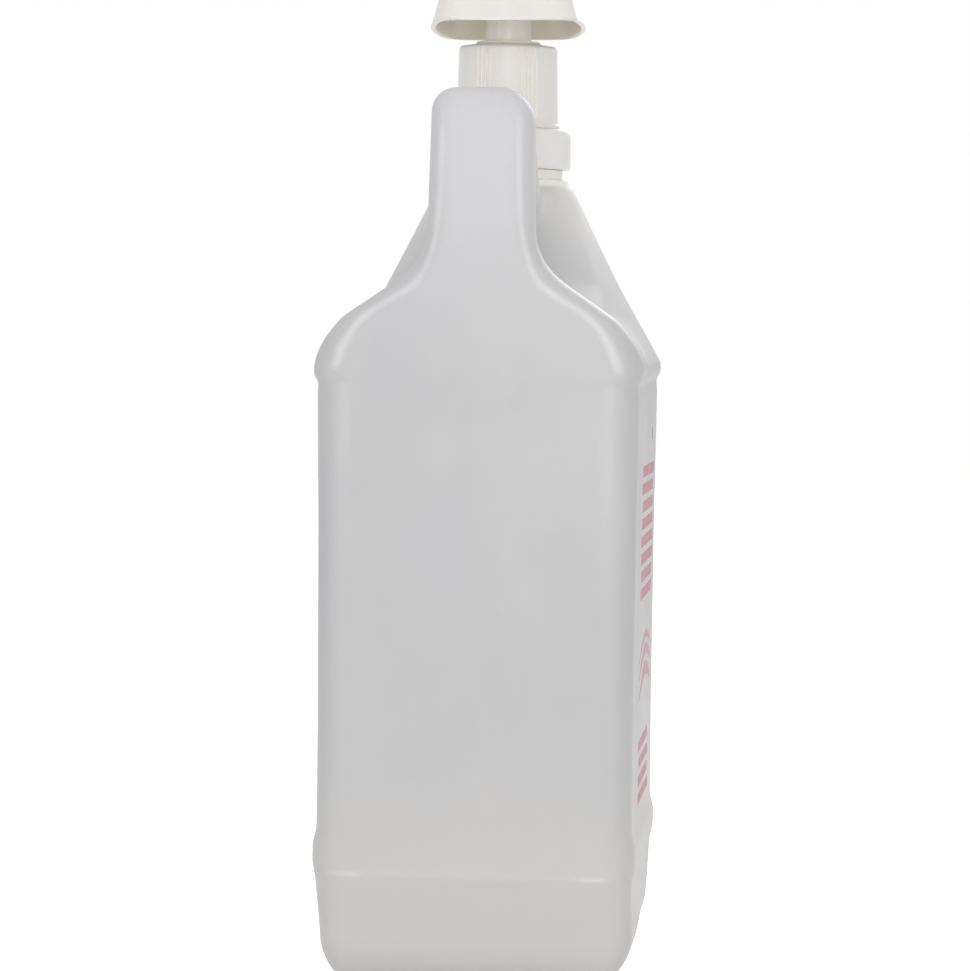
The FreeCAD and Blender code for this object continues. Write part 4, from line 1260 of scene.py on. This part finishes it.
    def shell(self) -> Shape:
        """Wrap the outside and the inside, cut both at the neck's top edge and join them there."""
        reach = self.neck + 4
        outer = wrap(self.outside, (
            bands(-90.9, 1.5, 90.9), bands(-56.4, 1.5, 56.4),
            bands(-1.5, 1.4, 21, 3.2, 36, 0.9, 56, 7.0, 196, 0.8, 212, 1.4, 299)))
        inner = self.inside((bands(-90.9, 2.8, 90.9), bands(-56.4, 2.8, 56.4),
                             bands(-1.5, 3.0, 36, 2.0, 56, 10.0, 192, 1.6, 212, 3.0, 299)))
        whole = outer.cut_neck(self.land, reach).joined(inner.cut_neck(self.land, reach))
        return whole.closed(self.land)

    def build(self, dresser: Dresser) -> None:
        """Make the jug with its neck thread and the ring under the closure.

        Args:
            dresser: makes the pieces.
        """
        finish = NaturalPolythene().material()
        thread = coil_web("neck thread", finish).grow(
            radius=17.5, base=276.0, height=5.8, turns=1.37, wire=0.95, tail=0.05, per_turn=72,
            sides=10)
        low = self.ring_top - self.ring_height
        ring = turned([(self.ring_bore, low, 0.0), (self.ring, low, 0.0),
                       (self.ring, self.ring_top, 0.25), (self.ring_bore, self.ring_top, 0.0)])
        dresser.piece("jug", self.shell().joined(thread.on_neck(), ring.on_neck()), [finish],
                      Slot.POLYTHENE, Body.BOTTLE, "bottle")


# ---------------------------------------------------------------- the printed side


@dataclass
class SidePrint:
    """A generic print on one side panel: a dot, rows of short bars and three crescents."""

    face: float = -53.84
    thickness: float = 0.24
    left: float = -34.0
    length: float = 96.0
    pitch: float = 5.9
    gap: float = 1.3
    dot: tuple[float, float, float] = (42.0, 183.0, 2.2)
    crescent_low: float = 94.0
    crescent_rise: float = 5.0
    crescent_lean: float = 2.0
    crescents: tuple[Span, ...] = ((0.0, 4.8), (7.2, 3.6), (13.0, 2.4))

    def flat(self, x: np.ndarray, z: np.ndarray) -> Shape:
        """Give a closed outline the ink's thickness.

        Args:
            x: the outline's places along the panel.
            z: its heights.

        Returns:
            The flat shape.
        """
        count = len(x)
        front = np.stack([x, np.full(count, self.face - self.thickness), z], 1)
        number = np.arange(count)
        ahead = np.roll(number, -1)
        rim = np.stack([number, count + number, count + ahead, ahead], 1).tolist()
        faces = [number.tolist(), (count + number[::-1]).tolist(), *rim]
        return Shape(np.concatenate([front, front + (0, self.thickness, 0)]), faces).closed()

    def round_dot(self) -> Shape:
        """Draw the dot."""
        x, z, radius = self.dot
        angles = np.linspace(0, 2 * math.pi, 48, endpoint=False)
        return self.flat(x + radius * np.cos(angles), z + radius * np.sin(angles))

    def crescent(self, level: float, thick: float) -> Shape:
        """Draw a crescent.

        Args:
            level: its height over the lowest one.
            thick: its thickness at the crown.

        Returns:
            The flat shape.
        """
        shares = np.linspace(0, 1, 40)
        crown = np.sin(np.pi * shares)
        x = self.left + self.length * shares
        lower = self.crescent_low + level + self.crescent_rise * crown + self.crescent_lean * shares
        upper = lower + 0.3 + thick * crown
        return self.flat(np.append(x, x[::-1]), np.append(lower, upper[::-1]))

    def build(self, dresser: Dresser) -> None:
        """Make the print as one piece of ink.

        Args:
            dresser: makes the pieces.
        """
        finish = ScreenInk().material()
        web = dash_web(finish)
        common = {"left": self.left, "face": self.face, "row_pitch": self.pitch, "gap": self.gap,
                  "thickness": self.thickness}
        upper = web.grow(**common, count=190, seed=4, top=171.0, row_length=self.length, rows=8,
                         short=2.2, long=8.4, height=3.7)
        lower = web.grow(**common, count=88, seed=11, top=79.0, row_length=80.0, rows=4,
                         short=1.8, long=6.4, height=3.4)
        bows = [self.crescent(*sizes) for sizes in self.crescents]
        shape = self.round_dot().joined(*bows, upper.closed(), lower.closed())
        depths = along_table(Jug.side_insets, shape.points[:, 2])
        shape = Shape(shape.points + depths[:, None] * (0, 1, 0), shape.faces)
        dresser.piece("side_print_ink", shape, [finish], Slot.INK, Body.BOTTLE, "side_print")


# ---------------------------------------------------------------- the closure and the collar


@dataclass
class Closure:
    """The smooth screw closure with its inside thread."""

    hole: float = 13.6
    bore: float = 19.0
    low: float = 273.9
    high: float = 287.9
    under: float = 286.4
    radius_top: float = 22.15
    radius_low: float = 22.4

    def build(self, dresser: Dresser, finish: Material) -> None:
        """Make the closure with its thread.

        Args:
            dresser: makes the pieces.
            finish: the closure's white.
        """
        ring = turned([
            (self.hole, self.under, 0.2), (self.bore, self.under, 0.5), (self.bore, self.low, 0.3),
            (self.radius_low, self.low, 0.9), (self.radius_top, self.high, 2.2),
            (self.hole, self.high, 0.3)], 160)
        thread = coil_web("closure thread", finish).grow(
            radius=self.bore + 0.1, base=277.6, height=5.3, turns=1.25, wire=0.6, tail=0.05,
            per_turn=72, sides=10)
        dresser.piece("closure", ring.joined(thread).on_neck(), [finish], Slot.MOULDED,
                      Body.CLOSURE, "closure_ring")


@dataclass
class Collar:
    """The tall collar over the closure, with a low crown and four groups of grip ribs."""

    low: float = 288.0
    high: float = 317.4
    top_round: float = 1.3
    top_fall: float = 0.9
    crown: float = 11.2
    crown_rise: float = 0.9
    sleeve: float = 13.2
    sleeve_top: float = 291.3
    hole: float = 8.3
    wall: float = 1.6
    radius_top: float = 17.05
    radius_low: float = 17.55
    foot: float = 18.4
    rib_count: int = 5
    rib_pitch: float = 5.4
    lane_half: float = 14.1
    rib_half_width: float = 0.30
    rib_proud: float = 2.2

    def shell(self) -> Shape:
        """Turn the collar without its ribs."""
        inside, roof = self.radius_top - self.wall, self.high - self.wall
        top = self.high + self.crown_rise
        return turned([
            (self.sleeve, self.low, 0.2), (self.foot, self.low, 0.4),
            (self.foot - 0.1, self.low + 1.2, 0.5), (self.radius_low + 0.1, self.low + 2.0, 0.5),
            (self.radius_top, self.high - self.top_fall, self.top_round),
            (self.crown, self.high, 0.6), (self.crown - 0.2, top, 0.3), (self.hole, top, 0.35),
            (self.hole, roof, 0.2), (inside, roof, 0.8), (inside, self.sleeve_top + 1.2, 0.3),
            (self.sleeve, self.sleeve_top, 0.2)], 160)

    def build(self, dresser: Dresser, finish: Material) -> None:
        """Make the collar with its ribs, the top and the ribs in a lighter white that is painted light.

        Args:
            dresser: makes the pieces.
            finish: the closure's white.
        """
        shell, web = self.shell(), rib_web(finish)
        group = self.rib_pitch * (self.rib_count - 1)
        lean = (self.radius_top - self.radius_low) * 0.9 / self.rib_proud
        ribs = [web.grow(
            count=self.rib_count, first=math.radians(first), step=math.radians(self.rib_pitch),
            radius=self.radius_low - 0.08, low=self.low + 2.5, high=self.high - 1.6, lean=lean,
            half_width=self.rib_half_width, proud=self.rib_proud).closed()
            for facing in (0.0, 180.0)
            for first in (facing + self.lane_half, facing - self.lane_half - group)]
        whole = shell.joined(*ribs)
        # The top and the ribs take the white with painted light: the top lifted out of the hood's shade,
        # the ribs as bright crests.
        pale = np.array([whole.points[face, 2].max() for face in whole.faces]) > self.high - 1.0
        pale[len(shell.faces):] = True
        dresser.piece("collar", whole.on_neck(HEAD_TURN), [finish, PAINTED_LIGHT_WHITE.material()],
                      Slot.MOULDED, Body.PUMP_UNIT, "ribbed_collar", pale)


# ---------------------------------------------------------------- the head


@dataclass
class PumpHead:
    """The hollow hood with its boss and spout, drawn about its own upright axis."""

    rim: float = 322.8
    rim_fall: Span = (0.0125, 0.018)
    top: float = 352.3
    roof_under: float = 350.3
    wall: float = 1.8
    back: float = 40.0
    front: float = 50.0
    half_back: float = 22.9
    half_front: float = 22.1
    side_bow: float = 4.6
    front_bow: float = 3.0
    side_draft: float = 8.0
    end_draft: float = 6.0
    corner: float = 7.0
    top_round: float = 6.0
    hub: float = 7.9
    hub_low: float = 313.0
    key_turn: float = 25.5
    crown_room: float = 12.0
    crown_reach: float = 338.5
    stem: float = 6.0
    stem_top: float = 330.0
    chamber: float = 5.1
    chamber_top: float = 339.25
    throat: float = 3.2
    spout: float = 4.3
    spout_tip: float = 3.35
    spout_way: float = 2.4
    spout_level: float = 341.4
    bend_start: float = 52.0
    bend: float = 7.0
    mouth: float = 320.6
    step: float = 0.72

    def plan(self, x: Grid, y: Grid, z: Grid, inset: float) -> Grid:
        """Distance field of the hood's sides at an inset: a straight back, bowed sides and front.

        Args:
            x, y, z: places in millimetres.
            inset: how far inside the outer sides.

        Returns:
            The distance, below zero inside.
        """
        share = np.clip((z - self.rim) / (self.top - self.rim), -0.1, 1.1)
        narrowing = self.half_back - self.half_front
        run = math.hypot(self.back + self.front, narrowing)
        lean = math.atan2(narrowing, self.back + self.front)
        side_radius = (run ** 2 / 4 + self.side_bow ** 2) / (2 * self.side_bow)
        off = side_radius - self.side_bow
        middle_x = (self.front - self.back) / 2 - off * math.sin(lean)
        middle_y = (self.half_back + self.half_front) / 2 - off * math.cos(lean)
        sides = np.hypot(x - middle_x, np.abs(y) - middle_y) - side_radius
        nose_radius = (self.half_front ** 2 + self.front_bow ** 2) / (2 * self.front_bow)
        nose = np.hypot(x - self.front - self.front_bow + nose_radius, y) - nose_radius
        ends = within(nose, -self.back - x)
        return meet(sides + self.side_draft * share + inset, ends + self.end_draft * share + inset,
                    self.corner - inset)

    def pipe(self, x: Grid, y: Grid, z: Grid, radius: float, tip: float) -> Grid:
        """Distance field of a bar along the spout: level, bent, then down, narrowing to the tip.

        Args:
            x, y, z: places in millimetres.
            radius: the bar's radius.
            tip: its radius at the mouth.

        Returns:
            The distance, below zero inside.
        """
        hub_z = self.spout_level - self.bend
        level = within(np.hypot(y, z - self.spout_level) - radius, -x, x - self.bend_start)
        ring = np.hypot(np.hypot(x - self.bend_start, z - hub_z) - self.bend, y) - radius
        ring = within(ring, self.bend_start - x, hub_z - z)
        share = np.clip((hub_z - z) / (hub_z - self.mouth), 0, 1.2)
        down = np.hypot(x - self.bend_start - self.bend, y) - (radius + (tip - radius) * share)
        return either(level, ring, within(down, z - hub_z))

    def block(self, x: Grid, y: Grid, z: Grid) -> Grid:
        """Distance field of the hood as if it were solid."""
        return meet(self.plan(x, y, z, 0.0), z - self.top, self.top_round)

    def solid(self, x: Grid, y: Grid, z: Grid) -> Grid:
        """Distance field of the whole head.

        Args:
            x, y, z: places in millimetres.

        Returns:
            The distance, below zero inside.
        """
        radius = np.hypot(x, y)
        hollow = meet(self.plan(x, y, z, self.wall), z - self.roof_under, self.top_round - self.wall)
        rim = self.rim + 0.55 - self.rim_fall[0] * (x + self.back) - self.rim_fall[1] * y
        hood = meet(meet(self.block(x, y, z), -hollow, 0.5), rim - z, 0.4)
        hub = within(meet(radius - self.hub, self.hub_low - z, 0.5), z - self.roof_under - 1)
        spout = meet(self.pipe(x, y, z, self.spout, self.spout_tip), self.mouth - z, 0.4)
        ways = either(
            within(radius - self.stem, z - self.stem_top),
            within(radius - self.chamber, z - self.chamber_top),
            within(radius - self.throat, z - self.spout_level),
            self.pipe(x, y, z, self.spout_way, self.spout_way - 0.3),
            within(radius - self.crown_room, z - self.crown_reach, self.hub - radius))
        return within(merge(merge(hood, hub, 1.0), spout, 1.2), -ways)

    def build(self, dresser: Dresser) -> None:
        """Make the head, with painted shade inside the hood and painted light on the boss and its keys.

        Args:
            dresser: makes the pieces.
        """
        finishes = [white.material() for white in (HEAD_WHITE, HOOD_PAINTED_SHADE, PAINTED_LIGHT_WHITE)]
        outer, shaded, pale = range(3)
        shape = wrap(self.solid, (
            bands(-41.5, self.step, 65.0), bands(-29.5, self.step, 29.5),
            bands(self.hub_low - 1.5, self.step, self.top + 1.5)))
        keys = rib_web(finishes[pale]).grow(
            count=2, first=math.radians(180.0 - self.key_turn), step=math.radians(2 * self.key_turn),
            radius=self.hub - 0.05, low=self.hub_low + 1.0, high=self.roof_under, lean=0.0,
            half_width=0.35, proud=0.9).closed()
        x, y, z = shape.points[np.array(shape.faces)].mean(1).T
        near_hub = np.hypot(x, y) < self.hub + 0.6
        inside = (self.block(x, y, z) < -self.wall * 0.6) & ~near_hub
        inside &= (z < self.roof_under + 0.6) & (z > self.rim - 0.8)
        # The boss and its keys take the white with painted light, lifting the hood's shade on them; the
        # inside of the hood takes painted shade.
        where = np.full(len(shape.faces) + len(keys.faces), pale)
        where[:len(shape.faces)] = np.select(
            [near_hub & (z < self.roof_under), inside], [pale, shaded], outer)
        dresser.piece("head", shape.joined(keys).on_neck(HEAD_TURN), finishes, Slot.MOULDED,
                      Body.HEAD, "pump_head", where)


# ---------------------------------------------------------------- the pump's inside


@dataclass
class PumpInside:
    """Gasket, barrel, guide, stem, piston, spring, cage, balls and dip tube."""

    flange: float = 17.4
    flange_under: float = 285.1
    outer: float = 12.2
    bore: float = 10.8
    sleeve: float = 13.2
    sleeve_top: float = 291.3
    bore_low: float = 225.1
    seat: float = 5.3
    seat_top: float = 218.1
    shelf_under: float = 224.1
    socket: float = 6.4
    socket_low: float = 202.5
    socket_top: float = 216.5
    tube: float = 4.6
    tube_top: float = 215.5
    inlet: float = 3.2
    stem: float = 6.0
    stem_low: float = 270.3
    slide: float = 6.05
    cup: float = 10.75
    cage_disc: Span = (226.87, 228.37)
    cage_rim: Span = (225.15, 227.5)
    cage_inner: float = 9.4
    cage_ports: int = 6
    cage_port: float = 1.2
    port_circle: float = 5.4
    ball: float = 4.3
    lower_ball: float = 220.27
    upper_ball: float = 332.65
    spring_turns: float = 7.746
    spring_radius: float = 8.2
    spring_wire: float = 0.65
    spring_low: float = 229.02
    spring_rise: float = 41.83
    press: float = 19.5

    def build(self, dresser: Dresser) -> None:
        """Make every inner piece; the spring is grown at its rest length, with a mesh of its own.

        Args:
            dresser: makes the pieces.
        """
        natural = PlainPlastic("pump barrel", (0.50, 0.51, 0.52), (0.58, 0.59, 0.60)).material()
        clear = PlainPlastic("dip tube", (0.54, 0.55, 0.55), (0.62, 0.63, 0.63), 0.28).material()
        milky = PlainPlastic("cage", (0.60, 0.60, 0.59), (0.68, 0.68, 0.67)).material()
        white = PlainPlastic("stem", (0.70, 0.68, 0.66), (0.76, 0.74, 0.71), 0.27).material()
        soft = PlainPlastic("piston", (0.62, 0.62, 0.60), (0.70, 0.70, 0.68), 0.30).material()
        steel = BrightSteel("spring wire", 0.24, 0.3, (1, 1, 4)).material()
        polished = BrightSteel("polished ball", 0.09, 1.5).material()
        unit = Body.PUMP_UNIT
        made = {name: dresser.piece(name, shape, [finish], slot, body, node)
                for name, node, finish, slot, body, shape in (
                    ("gasket", "neck_gasket", SealFoam().material(), Slot.FOAM, unit, self.gasket()),
                    ("barrel", "pump_barrel", natural, Slot.BARREL, unit, self.barrel()),
                    ("guide", "stem_guide", natural, Slot.BARREL, unit, self.guide()),
                    ("tube", "dip_tube", clear, Slot.TUBE, unit, self.dip_tube()),
                    ("cage", "ball_cage", milky, Slot.PISTON, unit, self.cage()),
                    ("stem", "pump_stem", white, Slot.MOULDED, Body.HEAD, self.hollow_stem()),
                    ("piston_cup", "piston", soft, Slot.PISTON, Body.PISTON, self.piston()),
                    ("coil_spring", "spring", steel, Slot.SPRING, unit, self.spring(steel)),
                    ("lower_ball", "inlet_ball", polished, Slot.BALL, Body.INLET_BALL,
                     self.check_ball(self.lower_ball)),
                    ("upper_ball", "outlet_ball", polished, Slot.BALL, Body.OUTLET_BALL,
                     self.check_ball(self.upper_ball)))}
        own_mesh(made["coil_spring"])

    def gasket(self) -> Shape:
        """Turn the gasket between the neck's top edge and the flange."""
        inner, low, top, soft = 14.5, self.flange_under - 1.0, self.flange_under, 0.25
        return turned([(inner, low, soft), (self.flange, low, soft), (self.flange, top, soft),
                       (inner, top, soft)]).on_neck()

    def barrel(self) -> Shape:
        """Turn the barrel: its bore with the ball's seat, the tube's socket, flange and sleeve."""
        top, under, over = self.sleeve_top, self.flange_under, self.flange_under + 1.2
        return turned([
            (self.bore, top, 0.2), (self.bore, self.bore_low, 0.0), (self.seat, self.seat_top, 0.3),
            (self.inlet, self.seat_top - 1.0, 0.3), (self.inlet, self.tube_top, 0.2),
            (self.tube, self.tube_top, 0.2), (self.tube, self.socket_low, 0.3),
            (self.socket, self.socket_low, 0.4), (self.socket, self.socket_top, 0.8),
            (self.outer, self.shelf_under, 1.5), (self.outer, under, 0.4), (self.flange, under, 0.3),
            (self.flange, over, 0.3), (self.sleeve, over, 0.4), (self.sleeve, top, 0.2)]).on_neck()

    def guide(self) -> Shape:
        """Turn the plug in the barrel's top."""
        low, step, top = self.sleeve_top - 9.0, self.sleeve_top, self.sleeve_top + 1.2
        return turned([
            (self.slide, low, 0.2), (self.bore, low, 0.3), (self.bore, step, 0.0),
            (self.sleeve, step, 0.2), (self.sleeve, top, 0.3), (self.slide, top, 0.3)]).on_neck()

    def dip_tube(self) -> Shape:
        """Turn the dip tube."""
        inner, low, top = self.tube - 1.3, 11.9, self.tube_top
        return turned([(inner, low, 0.2), (self.tube, low, 0.2), (self.tube, top, 0.2),
                       (inner, top, 0.2)], 64).on_neck()

    def hollow_stem(self) -> Shape:
        """Turn the stem."""
        inner, low, top = self.stem - 2.4, self.stem_low, 330.0
        return turned([(inner, low, 0.3), (self.stem, low, 0.4), (self.stem, top, 0.4),
                       (inner, top, 0.3)], 96).on_neck(HEAD_TURN)

    def piston(self) -> Shape:
        """Turn the piston, with a lip at each end."""
        low, top, lip, waist, recess = self.stem_low, self.stem_low + 9.0, 10.15, 9.55, 1.2
        return turned([
            (self.slide, low + recess, 0.2), (waist, low + recess, 0.3), (lip, low, 0.1),
            (self.cup, low, 0.2), (self.cup, top, 0.2), (lip, top, 0.1),
            (waist, top - recess, 0.3), (self.slide, top - recess, 0.2)]).on_neck()

    def check_ball(self, middle: float) -> Shape:
        """Turn a check ball with its middle at a height."""
        return turned([(self.ball * math.sin(angle), middle - self.ball * math.cos(angle), 0.0)
                       for angle in np.linspace(0, math.pi, 33)], 64).on_neck()

    def spring(self, steel: Material) -> Shape:
        """Grow the spring at its rest length."""
        return coil_web("spring coil", steel).grow(
            radius=self.spring_radius, base=self.spring_low, height=self.spring_rise,
            turns=self.spring_turns, wire=self.spring_wire, tail=0.0005, per_turn=48,
            sides=14).on_neck()

    def cage_field(self, x: Grid, y: Grid, z: Grid) -> Grid:
        """Distance field of the cage over the lower ball: a perforated disc on its rim.

        Args:
            x, y, z: places in millimetres.

        Returns:
            The distance, below zero inside.
        """
        radius = np.hypot(x, y)
        disc = within(meet(radius - self.cup, z - self.cage_disc[1], 0.2), self.cage_disc[0] - z)
        rim = within(radius - self.cup, self.cage_inner - radius, self.cage_rim[0] - z,
                     z - self.cage_rim[1])
        angles = [2 * math.pi * index / self.cage_ports for index in range(self.cage_ports)]
        ports = either(*(np.hypot(x - self.port_circle * math.cos(angle),
                                  y - self.port_circle * math.sin(angle)) for angle in angles))
        return within(either(disc, rim), self.cage_port - ports)

    def cage(self) -> Shape:
        """Wrap the cage."""
        across = bands(-11.3, 0.4, 11.3)
        return wrap(self.cage_field, (across, across, bands(224.6, 0.35, 229.0))).on_neck()


# ---------------------------------------------------------------- floor, light and camera


@dataclass(frozen=True)
class Lamp:
    """A soft rectangular lamp: places and sizes in metres, its power in watts."""

    name: str
    at: tuple[float, float, float]
    aim: float
    size: Span
    watts: float

    def hang(self) -> None:
        """Hang the lamp, facing the point on the upright axis at the height of its aim."""
        data = bpy.data.lights.new(self.name, "AREA")
        data.shape = "RECTANGLE"
        data.size, data.size_y = self.size
        data.energy = self.watts
        lamp = bpy.data.objects.new(self.name, data)
        lamp.location = self.at
        way = Vector((0, 0, self.aim)) - Vector(self.at)
        lamp.rotation_euler = way.to_track_quat("-Z", "Y").to_euler()
        bpy.context.scene.collection.objects.link(lamp)


@dataclass
class Studio:
    """A plain white floor and backdrop, soft lights and the camera."""

    eye: tuple[float, float, float] = (-1657.5, -115.2, 211.5)
    look: tuple[float, float, float] = (0.99708, 0.07101, -0.02817)
    roll: float = 1.01
    lens: float = 180.3
    fill: float = 0.655
    floor_glow: float = 0.62
    floor_half: float = 6000.0
    floor_level: float = -0.2
    lamps: tuple[Lamp, ...] = (
        Lamp("front", (-1.0, -0.07, 0.30), 0.28, (0.3, 0.3), 2.1),
        Lamp("left", (-1.28, 0.68, 0.55), 0.22, (0.22, 1.1), 0.6),
        Lamp("right", (-1.28, -0.86, 0.55), 0.22, (0.22, 1.1), 0.8),
        Lamp("rear", (1.5, -0.25, 0.8), 0.2, (0.6, 0.6), 3.5),
        Lamp("overhead", (-0.2, 0.0, 1.9), 0.2, (1.2, 1.2), 4.0))

    def camera(self) -> None:
        """Place the camera at the handle end, a little towards the printed side."""
        ahead = Vector(self.look).normalized()
        right = ahead.cross(Vector((0, 0, 1))).normalized()
        up = right.cross(ahead)
        roll = math.radians(self.roll)
        across = right * math.cos(roll) + up * math.sin(roll)
        upward = up * math.cos(roll) - right * math.sin(roll)
        data = bpy.data.cameras.new("camera")
        data.lens = self.lens
        data.sensor_width = 36.0
        data.clip_end = 20.0
        camera = bpy.data.objects.new("camera", data)
        columns = (*across, 0), (*upward, 0), (*(-ahead), 0), (*(Vector(self.eye) * MM), 1)
        camera.matrix_world = Matrix(columns).transposed()
        bpy.context.scene.collection.objects.link(camera)
        bpy.context.scene.camera = camera

    @staticmethod
    def seen(web: Web) -> Signal:
        """Give 1 to rays that see the white straight, mirrored or through glass, and 0 to others."""
        path = web.node("ShaderNodeLightPath")
        rays = (Signal(web, path.outputs[f"Is {kind} Ray"]) for kind in ("Camera", "Glossy",
                                                                        "Transmission"))
        return functools.reduce(Signal.most, rays)

    def floor(self) -> None:
        """Lay a wide pale floor that keeps the object's shadow."""
        half, level = self.floor_half * MM, self.floor_level * MM
        corners = [(-half, -half, level), (half, -half, level), (half, half, level), (-half, half, level)]
        mesh = bpy.data.meshes.new("floor")
        mesh.from_pydata(corners, [], [(0, 1, 2, 3)])
        material = bpy.data.materials.new("pale floor")
        material.use_nodes = True
        web = Web(material.node_tree)
        dull = web.part("ShaderNodeBsdfDiffuse", {"Color": (0.88, 0.88, 0.88, 1.0)})
        glow = web.part("ShaderNodeEmission", {"Strength": self.seen(web) * self.floor_glow})
        both = web.part("ShaderNodeAddShader", {0: dull, 1: glow})
        web.node("ShaderNodeOutputMaterial", {"Surface": both})
        mesh.materials.append(material)
        floor = bpy.data.objects.new("floor", mesh)
        bpy.context.scene.collection.objects.link(floor)

    def world(self) -> None:
        """Surround the scene with white, dimmer as a light than as a background."""
        world = bpy.data.worlds.new("white room")
        bpy.context.scene.world = world
        world.use_nodes = True
        web = Web(world.node_tree)
        strength = self.fill + (1.0 - self.fill) * self.seen(web)
        sky = web.part("ShaderNodeBackground", {"Color": (1, 1, 1, 1), "Strength": strength})
        web.node("ShaderNodeOutputWorld", {"Surface": sky})

    def build(self) -> None:
        """Set up the floor, the world, the lamps and the camera."""
        self.floor()
        self.world()
        for lamp in self.lamps:
            lamp.hang()
        bpy.context.scene.view_settings.view_transform = "Standard"
        self.camera()


def main() -> None:
    """Build every class in order."""
    logging.basicConfig(level=logging.INFO, format="%(message)s")
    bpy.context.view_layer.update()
    dresser = Dresser()
    Studio().build()
    Jug().build(dresser)
    SidePrint().build(dresser)
    ring_white = RING_WHITE.material()
    Closure().build(dresser, ring_white)
    Collar().build(dresser, ring_white)
    PumpHead().build(dresser)
    PumpInside().build(dresser)
    log.info("%d pieces made", len(dresser.made))


if __name__ == "__main__":
    main()
